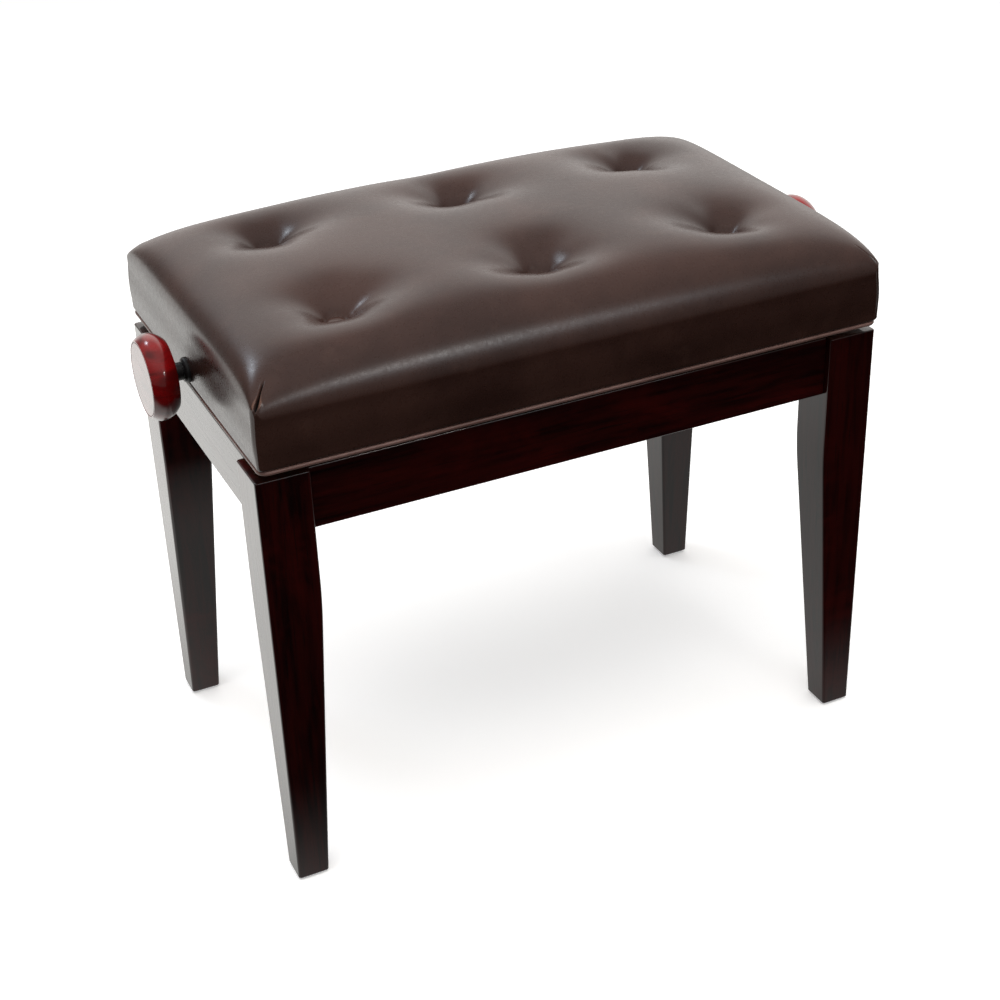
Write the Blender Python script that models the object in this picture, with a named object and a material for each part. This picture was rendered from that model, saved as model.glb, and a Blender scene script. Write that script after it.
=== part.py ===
# Height-adjustable piano bench. A wooden frame stands on four tapered legs, and a padded seat rides
# above it on two pairs of crossed steel arms, which a lengthwise screw with a knob at each end opens.
# Metres, +Z up. X runs along the bench, Y from the front (negative) to the back, the floor is Z = 0.
# The seat is at its lowest setting.

from math import asin, ceil, cos, pi, sin, sqrt

import bmesh
import bpy
import numpy as np
from mathutils import Matrix, Vector

# Wooden frame
BENCH_LENGTH = 0.550
BENCH_DEPTH = 0.326
LEG_WIDTH = 0.044
FOOT_WIDTH = 0.0266
TAPER_HEIGHT = 0.2656
TAPER_BLEND = 0.016
LEG_EDGE = 0.002
PAD_HEIGHT = 0.0015
PAD_INSET = 0.003
APRON_BOTTOM = 0.3295
APRON_HEIGHT = 0.0535
APRON_THICKNESS = 0.020
APRON_INSET = 0.0065
APRON_EDGE = 0.0015
TENON_LENGTH = 0.012
TENON_THICKNESS = 0.008
TENON_SHOULDER = 0.008
BLOCK_THICKNESS = 0.016
BLOCK_MARGIN = 0.006
BOLT_RADIUS = 0.003
BOLT_HEAD_RADIUS = 0.006
BOLT_HEAD_HEIGHT = 0.004
BOLT_HEAD_SIDES = 6
BOLT_DEPTH_IN_LEG = 0.020

# Seat
SEAT_GAP = 0.0075
COVER_END_INSET = 0.00225
COVER_SIDE_OVERHANG = 0.0065
COVER_WALL = 0.005
COVER_EDGE_RADIUS = 0.012
COVER_SIDE_HEIGHT = 0.0459
COVER_CROWN = 0.0526
END_FULLNESS = 3
END_ROUNDING = 0.28
SIDE_FULLNESS = 6
SIDE_ROUNDING = 0.7
PIPING_RADIUS = 0.00175
SEAT_RAIL_HEIGHT = 0.034
SEAT_RAIL_THICKNESS = 0.018
BOARD_THICKNESS = 0.009
BUTTON_COLUMN_STEP = 0.173
BUTTON_ROW_OFFSET = 0.082
BUTTON_RADIUS = 0.007
BUTTON_HEIGHT = 0.004
BUTTON_SEAT_HEIGHT = 0.064
DIMPLE_FLAT = 0.013
DIMPLE_WIDTH = 0.030
CORE_STEP = 0.024
EDGE_STEPS = 3
SMALLEST_SHARE = 1e-9

# Lifting mechanism
LIFT = 0.090
ARM_LENGTH = 0.360
ARM_WIDTH = 0.022
ARM_THICKNESS = 0.0035
ARM_SPACING = 0.001
LOWER_PIVOT_HEIGHT = 0.0225
SCREW_HEIGHT = 0.0165
PIN_RADIUS = 0.004
PIN_HEAD_RADIUS = 0.006
PIN_HEAD_THICKNESS = 0.002
RAIL_WALL = 0.003
RAIL_FLANGE = 0.019
RAIL_OVERLAP = 0.014
RAIL_TO_BLOCK = 0.003
RAIL_TO_ARM = 0.0025
RAIL_END_MARGIN = 0.012
NUT_WIDTH = 0.024
NUT_WALL = 0.0045
NUT_EDGE = 0.0012
SCREW_RADIUS = 0.006
BUSH_SLEEVE_RADIUS = 0.008
BUSH_FLANGE_RADIUS = 0.0105
BUSH_FLANGE_THICKNESS = 0.0045
FERRULE_RADIUS = 0.007
FERRULE_LENGTH = 0.0098
COLLAR_RADIUS = 0.010
COLLAR_LENGTH = 0.010
KNOB_RADIUS = 0.0355
KNOB_FACE_RADIUS = 0.0311
KNOB_BACK_RADIUS = 0.0290
KNOB_THICKNESS = 0.0223
KNOB_BORE_DEPTH = 0.0125

# Clearances: between pieces that touch, in running fits, at the linkage's opened pivots, and
# between the soft pad and what encloses it.
GAP = 0.0003
PIVOT_PLAY = 0.0009
SOFT_GAP = 0.0015

# Fineness: steps round a turned piece, in a quarter turn and in a half turn, the angle past which
# an edge stays sharp, and how far a cutter reaches past the face it cuts.
ROUND_STEPS = 20
SMALL_STEPS = 12
KNOB_STEPS = 28
KNOB_RIM_STEPS = 6
BUTTON_DOME_STEPS = 3
QUARTER_STEPS = 4
HALF_STEPS = 8
TAPER_STEPS = 4
SHARP_ANGLE = pi / 5
CUT_PAST = 0.010

# Places worked out from the sizes above
half_length = BENCH_LENGTH / 2
half_depth = BENCH_DEPTH / 2
apron_top = APRON_BOTTOM + APRON_HEIGHT
apron_outer_x = half_length - APRON_INSET
apron_outer_y = half_depth - APRON_INSET
apron_inner_x = apron_outer_x - APRON_THICKNESS
apron_inner_y = apron_outer_y - APRON_THICKNESS

# The corner block lies at 45 degrees. Its two long faces are the lines x + y = constant.
leg_corner_sum = half_length + half_depth - 2 * LEG_WIDTH
block_back_sum = leg_corner_sum - GAP * sqrt(2)
block_front_sum = block_back_sum - BLOCK_THICKNESS * sqrt(2)
block_reach_y = block_front_sum - apron_inner_x

seat_bottom = apron_top + SEAT_GAP
cover_x = half_length - COVER_END_INSET
cover_y = half_depth + COVER_SIDE_OVERHANG
seat_x = cover_x - COVER_WALL - GAP
seat_y = cover_y - COVER_WALL - GAP
seat_corner = COVER_EDGE_RADIUS - COVER_WALL - GAP
board_bottom = seat_bottom + SEAT_RAIL_HEIGHT + GAP
board_top = board_bottom + BOARD_THICKNESS
cover_bottom = seat_bottom + 2 * PIPING_RADIUS + GAP
cover_top_edge = seat_bottom + COVER_SIDE_HEIGHT

lower_pivot_z = APRON_BOTTOM + LOWER_PIVOT_HEIGHT
screw_z = seat_bottom + SCREW_HEIGHT
pivot_x = -ARM_LENGTH / 2
rest_angle = asin((screw_z - lower_pivot_z) / ARM_LENGTH)
raised_angle = asin((screw_z - lower_pivot_z + LIFT) / ARM_LENGTH)
rest_reach = ARM_LENGTH * cos(rest_angle)
raised_reach = ARM_LENGTH * cos(raised_angle)

# From the outside in on each side: the rails' upright walls, arm A, arm B.
rail_outer_y = block_reach_y - RAIL_TO_BLOCK
rail_inner_y = rail_outer_y - RAIL_WALL
arm_a_outer_y = rail_inner_y - ARM_SPACING / 2
arm_b_outer_y = arm_a_outer_y - ARM_THICKNESS - ARM_SPACING
arm_b_inner_y = arm_b_outer_y - ARM_THICKNESS
pin_hole_radius = PIN_RADIUS + GAP
lower_flange_z = lower_pivot_z - ARM_WIDTH / 2 - RAIL_TO_ARM - RAIL_WALL
end_bar_x = apron_inner_x - GAP - RAIL_WALL

# Outward along the screw on each side: seat rail, bush, ferrule, knob.
seat_rail_inner_x = seat_x - SEAT_RAIL_THICKNESS
bush_x = cover_x + GAP
ferrule_x = bush_x + BUSH_FLANGE_THICKNESS + GAP
knob_x = ferrule_x + FERRULE_LENGTH + GAP
screw_end_x = knob_x + KNOB_BORE_DEPTH - GAP


def clear_scene():
    for old in list(bpy.data.objects):
        bpy.data.objects.remove(old, do_unlink=True)


def make_material(name, colour, roughness, metallic=0.0):
    material = bpy.data.materials.new(name)
    material.use_nodes = True
    shader = material.node_tree.nodes["Principled BSDF"]
    shader.inputs["Base Color"].default_value = (*colour, 1.0)
    shader.inputs["Roughness"].default_value = roughness
    shader.inputs["Metallic"].default_value = metallic
    return material


def put_in_scene(name, mesh, material=None, parent=None):
    obj = bpy.data.objects.new(name, mesh)
    bpy.context.scene.collection.objects.link(obj)
    if material is not None:
        mesh.materials.clear()
        mesh.materials.append(material)
    obj.parent = parent
    return obj


def mesh_from(shape, name):
    # Turns a bmesh into a mesh with its faces pointing out.
    bmesh.ops.recalc_face_normals(shape, faces=shape.faces)
    mesh = bpy.data.meshes.new(name)
    shape.to_mesh(mesh)
    shape.free()
    return mesh


def smooth(mesh):
    mesh.shade_smooth()
    mesh.set_sharp_from_angle(angle=SHARP_ANGLE)
    return mesh


def box_mesh(low, high, name="box"):
    low, high = Vector(low), Vector(high)
    shape = bmesh.new()
    place = Matrix.Translation((low + high) / 2) @ Matrix.Diagonal((*(high - low), 1.0))
    bmesh.ops.create_cube(shape, size=1.0, matrix=place)
    return mesh_from(shape, name)


def extruded_mesh(outline, low, high, name="extrusion"):
    # Extrudes a closed outline in X and Y from one height to another.
    shape = bmesh.new()
    corners = [shape.verts.new((x, y, low)) for x, y in outline]
    base = shape.faces.new(corners)
    made = bmesh.ops.extrude_face_region(shape, geom=[base])["geom"]
    lifted = [item for item in made if isinstance(item, bmesh.types.BMVert)]
    bmesh.ops.translate(shape, vec=(0, 0, high - low), verts=lifted)
    if base not in shape.faces[:]:
        shape.faces.new(corners)
    return mesh_from(shape, name)


def turned_mesh(profile, steps=ROUND_STEPS, name="turning"):
    # Spins points (distance along Z, radius) once around Z. A profile that starts and ends on the
    # axis makes a solid, and any other is joined end to end and makes a ring.
    shape = bmesh.new()
    points = [shape.verts.new((radius, 0, along)) for along, radius in profile]
    pairs = list(zip(points, points[1:]))
    if profile[0][1] > 0:
        pairs.append((points[-1], points[0]))
    edges = [shape.edges.new(pair) for pair in pairs]
    bmesh.ops.spin(shape, geom=points + edges, cent=(0, 0, 0), axis=(0, 0, 1), angle=2 * pi,
                   steps=steps, use_merge=True)
    bmesh.ops.remove_doubles(shape, verts=shape.verts, dist=1e-6)
    return smooth(mesh_from(shape, name))


def rod_mesh(radius, low, high, steps=SMALL_STEPS):
    return turned_mesh([(low, 0), (low, radius), (high, radius), (high, 0)], steps)


def tube_mesh(inner, outer, low, high, steps=ROUND_STEPS):
    return turned_mesh([(low, inner), (low, outer), (high, outer), (high, inner)], steps)


def pin_mesh(low, high, shoulders=()):
    # A pin along Y between two places, with a flat head beyond each end and any shoulders given as
    # pairs of places between them.
    head = PIN_HEAD_THICKNESS
    profile = [(low - head, 0), (low - head, PIN_HEAD_RADIUS), (low, PIN_HEAD_RADIUS)]
    for start, end in shoulders:
        profile += [(start, PIN_RADIUS), (start, PIN_HEAD_RADIUS), (end, PIN_HEAD_RADIUS)]
        profile += [(end, PIN_RADIUS)]
    profile.insert(3, (low, PIN_RADIUS))
    profile += [(high, PIN_RADIUS), (high, PIN_HEAD_RADIUS), (high + head, PIN_HEAD_RADIUS),
                (high + head, 0)]
    return along_y(turned_mesh(profile, SMALL_STEPS))


def arc_points(centre, radius, start, turn, steps):
    angles = start + turn * np.arange(steps + 1) / steps
    return [(centre[0] + radius * cos(a), centre[1] + radius * sin(a)) for a in angles]


def rounded_rectangle(half_x, half_y, radius):
    outline = []
    for quarter, (sign_x, sign_y) in enumerate(((1, 1), (-1, 1), (-1, -1), (1, -1))):
        centre = (sign_x * (half_x - radius), sign_y * (half_y - radius))
        outline += arc_points(centre, radius, quarter * pi / 2, pi / 2, QUARTER_STEPS)
    return outline


def bar_outline(start, end, half_width):
    # A strip along X with round ends centred on the two given places.
    right = arc_points((end, 0), half_width, -pi / 2, pi, HALF_STEPS)
    left = arc_points((start, 0), half_width, pi / 2, pi, HALF_STEPS)
    return right + left


def along_y(mesh):
    # Lays what stands along Z along Y: +Z becomes +Y, and +Y becomes -Z.
    mesh.transform(Matrix.Rotation(-pi / 2, 4, "X"))
    return mesh


def along_x(mesh):
    mesh.transform(Matrix.Rotation(pi / 2, 4, "Y"))
    return mesh


def moved(mesh, place):
    mesh.transform(Matrix.Translation(place))
    return mesh


def shaped(mesh, cutters=(), additions=(), bevel=0.0):
    # Rounds a mesh's sharp edges, joins the additions to it, takes the cutters out of it, and
    # returns the finished mesh.
    body = put_in_scene("body", mesh)
    if bevel:
        edge = body.modifiers.new("edge", "BEVEL")
        edge.width = bevel
        edge.segments = 1
        edge.limit_method = "ANGLE"
    helpers = []
    for kind, meshes in (("UNION", additions), ("DIFFERENCE", cutters)):
        for other in meshes:
            helper = put_in_scene("helper", other)
            step = body.modifiers.new(kind.lower(), "BOOLEAN")
            step.operation = kind
            step.solver = "EXACT"
            step.object = helper
            helpers.append(helper)
    graph = bpy.context.evaluated_depsgraph_get()
    finished = bpy.data.meshes.new_from_object(body.evaluated_get(graph))
    for used in helpers + [body]:
        bpy.data.objects.remove(used, do_unlink=True)
    return finished


def empty_at(name, place, parent=None):
    marker = bpy.data.objects.new(name, None)
    bpy.context.scene.collection.objects.link(marker)
    marker.parent = parent
    marker.location = place
    return marker


# Legs and aprons

def leg_width_at(height):
    # Full width above the taper, then narrower in proportion to the depth below its start, with a
    # parabola easing one line into the other.
    below = TAPER_HEIGHT - height
    if abs(below) < TAPER_BLEND:
        below = (below + TAPER_BLEND) ** 2 / (4 * TAPER_BLEND)
    return LEG_WIDTH - (LEG_WIDTH - FOOT_WIDTH) / TAPER_HEIGHT * max(below, 0)


def leg_mesh():
    # A leg whose outer corner is the Z axis. It lies towards +X and +Y, and its inner faces taper.
    blend = TAPER_BLEND * np.linspace(-1, 1, TAPER_STEPS + 1)
    heights = [PAD_HEIGHT + GAP, *(TAPER_HEIGHT + blend), apron_top]
    shape = bmesh.new()
    rings = []
    for height in heights:
        width = leg_width_at(height)
        corners = ((0, 0), (width, 0), (width, width), (0, width))
        rings.append([shape.verts.new((x, y, height)) for x, y in corners])
    for low, high in zip(rings, rings[1:]):
        for side in range(4):
            after = (side + 1) % 4
            shape.faces.new((low[side], low[after], high[after], high[side]))
    shape.faces.new(rings[0])
    shape.faces.new(rings[-1])
    tenon_low, tenon_high = tenon_heights()
    middle = APRON_INSET + APRON_THICKNESS / 2
    near = middle - TENON_THICKNESS / 2 - GAP
    far = middle + TENON_THICKNESS / 2 + GAP
    deep = LEG_WIDTH - TENON_LENGTH - GAP
    out = LEG_WIDTH + CUT_PAST
    mortises = [
        box_mesh((deep, near, tenon_low - GAP), (out, far, tenon_high + GAP)),
        box_mesh((near, deep, tenon_low - GAP), (far, out, tenon_high + GAP)),
    ]
    hole = bolt_hole(-BOLT_DEPTH_IN_LEG - GAP, CUT_PAST, LEG_WIDTH, LEG_WIDTH)
    return shaped(mesh_from(shape, "leg"), mortises + [hole], bevel=LEG_EDGE)


def tenon_heights():
    return APRON_BOTTOM + TENON_SHOULDER, apron_top - TENON_SHOULDER


def bolt_height():
    return APRON_BOTTOM + APRON_HEIGHT / 2


def bolt_hole(low, high, x, y):
    # A rod for cutting a corner bolt's hole: level, at 45 degrees, through the place given.
    hole = along_x(rod_mesh(BOLT_RADIUS + GAP, low, high))
    hole.transform(Matrix.Rotation(pi / 4, 4, "Z"))
    return moved(hole, (x, y, bolt_height()))


def apron_mesh(length):
    # An apron along X, centred on the origin in X and Y, with a tenon at each end.
    half = length / 2 - GAP
    body = box_mesh((-half, -APRON_THICKNESS / 2, APRON_BOTTOM), (half, APRON_THICKNESS / 2, apron_top))
    tenon_low, tenon_high = tenon_heights()
    reach = length / 2 + TENON_LENGTH
    tenon = box_mesh((-reach, -TENON_THICKNESS / 2, tenon_low), (reach, TENON_THICKNESS / 2, tenon_high))
    return shaped(body, additions=[tenon], bevel=APRON_EDGE)


def block_mesh():
    # The corner block for the corner at +X, +Y, with its bolt hole.
    side_x = apron_inner_x - GAP
    side_y = apron_inner_y - GAP
    outline = [
        (block_back_sum - side_y, side_y), (block_front_sum - side_y, side_y),
        (side_x, block_front_sum - side_x), (side_x, block_back_sum - side_x),
    ]
    body = extruded_mesh(outline, APRON_BOTTOM + BLOCK_MARGIN, apron_top - BLOCK_MARGIN)
    reach = BLOCK_THICKNESS + CUT_PAST
    hole = bolt_hole(-reach, reach, half_length - LEG_WIDTH, half_depth - LEG_WIDTH)
    return shaped(body, [hole])


def bolt_mesh():
    # A hexagon-headed bolt along Z: its tip is at the top and its head's underside at the origin.
    length = BLOCK_THICKNESS + BOLT_DEPTH_IN_LEG + GAP
    shank = rod_mesh(BOLT_RADIUS, -BOLT_HEAD_HEIGHT / 2, length)
    head = rod_mesh(BOLT_HEAD_RADIUS, -BOLT_HEAD_HEIGHT, 0, BOLT_HEAD_SIDES)
    return shaped(head, additions=[shank])


def build_frame(finish):
    leg = smooth(leg_mesh())
    bolt = along_x(bolt_mesh())
    block = block_mesh()
    foot = FOOT_WIDTH - 2 * PAD_INSET
    pad = box_mesh((0, 0, 0), (foot, foot, PAD_HEIGHT))
    head_back = (leg_corner_sum - block_front_sum) / 2 + GAP / sqrt(2)
    head_x = half_length - LEG_WIDTH - head_back
    head_y = half_depth - LEG_WIDTH - head_back
    turn_of_corner = {"front_left": 0, "front_right": 1, "back_right": 2, "back_left": 3}
    for corner, turns in turn_of_corner.items():
        sign_x = 1 if corner.endswith("right") else -1
        sign_y = 1 if corner.startswith("back") else -1
        leg_copy = put_in_scene("leg_" + corner, leg, finish["mahogany"])
        leg_copy.location = (sign_x * half_length, sign_y * half_depth, 0)
        leg_copy.rotation_euler = (0, 0, turns * pi / 2)
        pad_copy = put_in_scene("foot_pad_" + corner, pad, finish["felt"])
        pad_copy.location = (sign_x * (half_length - PAD_INSET), sign_y * (half_depth - PAD_INSET), 0)
        pad_copy.rotation_euler = (0, 0, turns * pi / 2)
        mirror = Matrix.Diagonal((sign_x, sign_y, 1, 1))
        block_copy = block.copy()
        block_copy.transform(mirror)
        if sign_x * sign_y < 0:
            block_copy.flip_normals()
        put_in_scene("corner_block_" + corner, block_copy, finish["block"])
        bolt_copy = put_in_scene("corner_bolt_" + corner, bolt, finish["zinc"])
        bolt_copy.location = (sign_x * head_x, sign_y * head_y, bolt_height())
        bolt_copy.rotation_euler = (0, 0, pi / 4 + (turns + 2) * pi / 2)
    long_apron = apron_mesh(BENCH_LENGTH - 2 * LEG_WIDTH)
    short_apron = apron_mesh(BENCH_DEPTH - 2 * LEG_WIDTH)
    for name, sign in (("apron_front", -1), ("apron_back", 1)):
        apron = put_in_scene(name, long_apron, finish["mahogany"])
        apron.location = (0, sign * (apron_outer_y - APRON_THICKNESS / 2), 0)
    for name, sign in (("apron_left", -1), ("apron_right", 1)):
        apron = put_in_scene(name, short_apron, finish["mahogany"])
        apron.location = (sign * (apron_outer_x - APRON_THICKNESS / 2), 0, 0)
        apron.rotation_euler = (0, 0, pi / 2)


# Lifting mechanism

def angle_boxes(half_span, inner_y, outer_y, low, high, flange):
    # The two boxes of an angle section along X: its upright wall, and its flange, which is given as
    # its low and high corners in Y and Z.
    wall = box_mesh((-half_span, inner_y, low), (half_span, outer_y, high))
    (flange_inner, flange_low), (flange_outer, flange_high) = flange
    ledge = box_mesh((-half_span, flange_inner, flange_low), (half_span, flange_outer, flange_high))
    return wall, ledge


def pin_hole(middle_y, height):
    # A rod for cutting a fixed pivot's hole in a rail's upright wall.
    return moved(along_y(rod_mesh(pin_hole_radius, -RAIL_WALL, RAIL_WALL)), (pivot_x, middle_y, height))


def lower_rail_mesh():
    # The angle that carries the fixed pivots at its left end and the sliding bar's slot at its right.
    wall, flange = angle_boxes(
        end_bar_x - GAP, rail_inner_y, rail_outer_y, lower_flange_z, lower_pivot_z + RAIL_OVERLAP,
        ((rail_outer_y - RAIL_FLANGE, lower_flange_z), (rail_outer_y - GAP, lower_flange_z + RAIL_WALL)))
    middle_y = (rail_inner_y + rail_outer_y) / 2
    hole = pin_hole(middle_y, lower_pivot_z)
    slot_start = pivot_x + raised_reach - PIVOT_PLAY
    slot_end = pivot_x + rest_reach + PIVOT_PLAY
    slot = extruded_mesh(bar_outline(slot_start, slot_end, PIN_RADIUS + PIVOT_PLAY), -RAIL_WALL, RAIL_WALL)
    slot = moved(along_y(slot), (0, middle_y, lower_pivot_z))
    return shaped(wall, [hole, slot], [flange])


def upper_rail_mesh():
    # The angle under the seat board, with the upper arms' pivot hole.
    top = board_bottom - GAP
    wall, flange = angle_boxes(
        seat_rail_inner_x - RAIL_END_MARGIN, rail_inner_y, rail_outer_y, screw_z - RAIL_OVERLAP, top,
        ((rail_inner_y + GAP, top - RAIL_WALL), (rail_inner_y + RAIL_FLANGE, top)))
    middle_y = (rail_inner_y + rail_outer_y) / 2
    hole = pin_hole(middle_y, screw_z)
    return shaped(wall, [hole], [flange])


def arm_mesh(middle_hole_radius):
    # A flat arm from its pivot at the origin along +X, with its thickness along Y.
    thick = ARM_THICKNESS
    bar = extruded_mesh(bar_outline(0, ARM_LENGTH, ARM_WIDTH / 2), -thick / 2, thick / 2)
    places = ((0, pin_hole_radius), (ARM_LENGTH / 2, middle_hole_radius), (ARM_LENGTH, pin_hole_radius))
    holes = [moved(rod_mesh(radius, -thick, thick), (x, 0, 0)) for x, radius in places]
    return along_y(shaped(bar, holes))


def nut_mesh():
    # A square nut round the screw, with a trunnion at the front and the back for the arms.
    bore = SCREW_RADIUS + PIVOT_PLAY
    half_height = bore + NUT_WALL
    side = NUT_WIDTH / 2
    block = box_mesh((-side, -side, -half_height), (side, side, half_height))
    trunnions = along_y(rod_mesh(PIN_RADIUS, -arm_a_outer_y, arm_a_outer_y))
    hole = along_x(rod_mesh(bore, -NUT_WIDTH, NUT_WIDTH, ROUND_STEPS))
    return shaped(block, [hole], [trunnions], bevel=NUT_EDGE)


def build_lower_rails(finish):
    lower = lower_rail_mesh()
    for name, turn in (("lower_rail_back", 0), ("lower_rail_front", 1)):
        rail = lower.copy()
        if turn:
            rail.transform(Matrix.Diagonal((1, -1, 1, 1)))
            rail.flip_normals()
        put_in_scene(name, rail, finish["steel"])
    low, high = lower_flange_z, lower_pivot_z + RAIL_OVERLAP
    bar = box_mesh((0, -rail_outer_y, low), (RAIL_WALL, rail_outer_y, high))
    put_in_scene("lower_end_bar_right", bar, finish["steel"]).location = (end_bar_x, 0, 0)
    put_in_scene("lower_end_bar_left", bar, finish["steel"]).location = (-end_bar_x - RAIL_WALL, 0, 0)
    pin = pin_mesh(-rail_outer_y - GAP, rail_outer_y + GAP)
    shaft = put_in_scene("lower_pivot_shaft", pin, finish["zinc"])
    shaft.location = (pivot_x, 0, lower_pivot_z)


def build_lower_arms(finish):
    # Arms A: hinged on the lower rails, they carry the nut at their upper ends.
    pivot = empty_at("arm_a_pivot", (pivot_x, 0, lower_pivot_z))
    pivot.rotation_euler = (0, -rest_angle, 0)
    arm = arm_mesh(pin_hole_radius)
    pin_low, pin_high = arm_b_inner_y - GAP, arm_a_outer_y + GAP
    for side, sign in (("front", -1), ("back", 1)):
        flat = put_in_scene("lower_arm_" + side, arm, finish["steel"], pivot)
        flat.location = (0, sign * (arm_a_outer_y - ARM_THICKNESS / 2), 0)
        ends = sorted((sign * pin_low, sign * pin_high))
        pin = put_in_scene("centre_pin_" + side, pin_mesh(*ends), finish["zinc"], pivot)
        pin.location = (ARM_LENGTH / 2, 0, 0)
    nut = put_in_scene("screw_nut", nut_mesh(), finish["brass"])
    nut.location = (pivot_x + rest_reach, 0, screw_z)


def build_upper_arms(finish):
    # Arms B: hinged under the seat, they slide along the lower rails at their lower ends.
    pivot = empty_at("arm_b_pivot", (pivot_x, 0, screw_z))
    pivot.rotation_euler = (0, rest_angle, 0)
    arm = arm_mesh(PIN_RADIUS + PIVOT_PLAY)
    for side, sign in (("front", -1), ("back", 1)):
        flat = put_in_scene("upper_arm_" + side, arm, finish["steel"], pivot)
        flat.location = (0, sign * (arm_b_outer_y - ARM_THICKNESS / 2), 0)
    inner, outer = arm_b_outer_y + GAP, rail_inner_y - GAP
    bar = pin_mesh(-rail_outer_y - GAP, rail_outer_y + GAP, [(-outer, -inner), (inner, outer)])
    slide = put_in_scene("slide_bar", bar, finish["zinc"], pivot)
    slide.location = (ARM_LENGTH, 0, 0)


def build_upper_rails(finish):
    upper = upper_rail_mesh()
    inner, outer = arm_b_outer_y + GAP, rail_inner_y - GAP
    for side, sign in (("back", 1), ("front", -1)):
        rail = upper.copy()
        if sign < 0:
            rail.transform(Matrix.Diagonal((1, -1, 1, 1)))
            rail.flip_normals()
        put_in_scene("upper_rail_" + side, rail, finish["steel"])
        low, high = sorted((sign * (arm_b_inner_y - GAP), sign * (rail_outer_y + GAP)))
        shoulder = sorted((sign * inner, sign * outer))
        pin = put_in_scene("upper_pivot_pin_" + side, pin_mesh(low, high, [shoulder]), finish["zinc"])
        pin.location = (pivot_x, 0, screw_z)


def knob_mesh():
    # A turned knob along +Z from its back: a barrel rim between a smaller back and the flat front.
    bulge = [(0, KNOB_BACK_RADIUS)]
    for share in np.linspace(0, 1, KNOB_RIM_STEPS + 1)[1:-1]:
        straight = KNOB_BACK_RADIUS + (KNOB_FACE_RADIUS - KNOB_BACK_RADIUS) * share
        rise = KNOB_RADIUS - (KNOB_BACK_RADIUS + KNOB_FACE_RADIUS) / 2
        bulge.append((KNOB_THICKNESS * share, straight + rise * sqrt(1 - (2 * share - 1) ** 2)))
    bulge.append((KNOB_THICKNESS, KNOB_FACE_RADIUS))
    bore = SCREW_RADIUS + GAP
    profile = [(KNOB_BORE_DEPTH, 0), (KNOB_BORE_DEPTH, bore), (0, bore), *bulge, (KNOB_THICKNESS, 0)]
    return turned_mesh(profile, KNOB_STEPS)


def build_screw(finish):
    axis = empty_at("screw_axis", (0, 0, screw_z))
    screw = along_x(rod_mesh(SCREW_RADIUS, -screw_end_x, screw_end_x, ROUND_STEPS))
    put_in_scene("lifting_screw", screw, finish["zinc"], axis)
    bore = SCREW_RADIUS + GAP
    ferrule = tube_mesh(bore, FERRULE_RADIUS + GAP, 0, FERRULE_LENGTH)
    collar = tube_mesh(bore, COLLAR_RADIUS, 0, COLLAR_LENGTH)
    knob = knob_mesh()
    collar_x = seat_rail_inner_x - GAP - COLLAR_LENGTH
    pieces = (("ferrule", ferrule, ferrule_x, "black"), ("thrust_collar", collar, collar_x, "zinc"),
              ("knob", knob, knob_x, "knob"))
    for name, mesh, place, look in pieces:
        for side, sign in (("right", 1), ("left", -1)):
            piece = put_in_scene(name + "_" + side, mesh, finish[look], axis)
            piece.location = (sign * place, 0, 0)
            piece.rotation_euler = (0, sign * pi / 2, 0)


# Seat

def build_seat_box(finish):
    reach_y = seat_y - SEAT_RAIL_THICKNESS
    corner = seat_corner
    right = arc_points((seat_x - corner, seat_y - corner), corner, 0, pi / 2, QUARTER_STEPS)
    left = arc_points((corner - seat_x, seat_y - corner), corner, pi / 2, pi / 2, QUARTER_STEPS)
    outline = [(-seat_x, reach_y), (seat_x, reach_y)] + right + left
    top = seat_bottom + SEAT_RAIL_HEIGHT
    long_rail = extruded_mesh(outline, seat_bottom, top)
    put_in_scene("seat_rail_back", long_rail, finish["plywood"])
    front = put_in_scene("seat_rail_front", long_rail, finish["plywood"])
    front.rotation_euler = (0, 0, pi)
    end = reach_y - GAP
    block = box_mesh((seat_rail_inner_x, -end, seat_bottom), (seat_x, end, top))
    hole = bush_hole()
    short_rail = shaped(block, [hole])
    put_in_scene("seat_rail_right", short_rail, finish["plywood"])
    put_in_scene("seat_rail_left", short_rail, finish["plywood"]).rotation_euler = (0, 0, pi)
    plan = rounded_rectangle(seat_x, seat_y, corner)
    put_in_scene("seat_board", extruded_mesh(plan, board_bottom, board_top), finish["plywood"])
    sleeve_end = bush_x - seat_rail_inner_x
    bore = SCREW_RADIUS + GAP
    bush = turned_mesh([(-sleeve_end, bore), (-sleeve_end, BUSH_SLEEVE_RADIUS), (0, BUSH_SLEEVE_RADIUS),
                        (0, BUSH_FLANGE_RADIUS), (BUSH_FLANGE_THICKNESS, BUSH_FLANGE_RADIUS),
                        (BUSH_FLANGE_THICKNESS, bore)])
    for side, sign in (("right", 1), ("left", -1)):
        piece = put_in_scene("screw_bush_" + side, bush, finish["black"])
        piece.location = (sign * bush_x, 0, screw_z)
        piece.rotation_euler = (0, sign * pi / 2, 0)


def bush_hole():
    hole = rod_mesh(BUSH_SLEEVE_RADIUS + GAP, seat_rail_inner_x - CUT_PAST, cover_x + CUT_PAST, ROUND_STEPS)
    return moved(along_x(hole), (0, 0, screw_z))


def button_places():
    rows, columns = (-1, 1), (-1, 0, 1)
    return [(column * BUTTON_COLUMN_STEP, row * BUTTON_ROW_OFFSET) for row in rows for column in columns]


def fall(share, fullness, rounding):
    # 1 over the middle, falling to nothing at the edge. A fuller shape stays level for longer and a
    # smaller rounding makes the last of the fall steeper.
    return np.maximum(1 - np.abs(share) ** fullness, SMALLEST_SHARE) ** rounding


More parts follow.
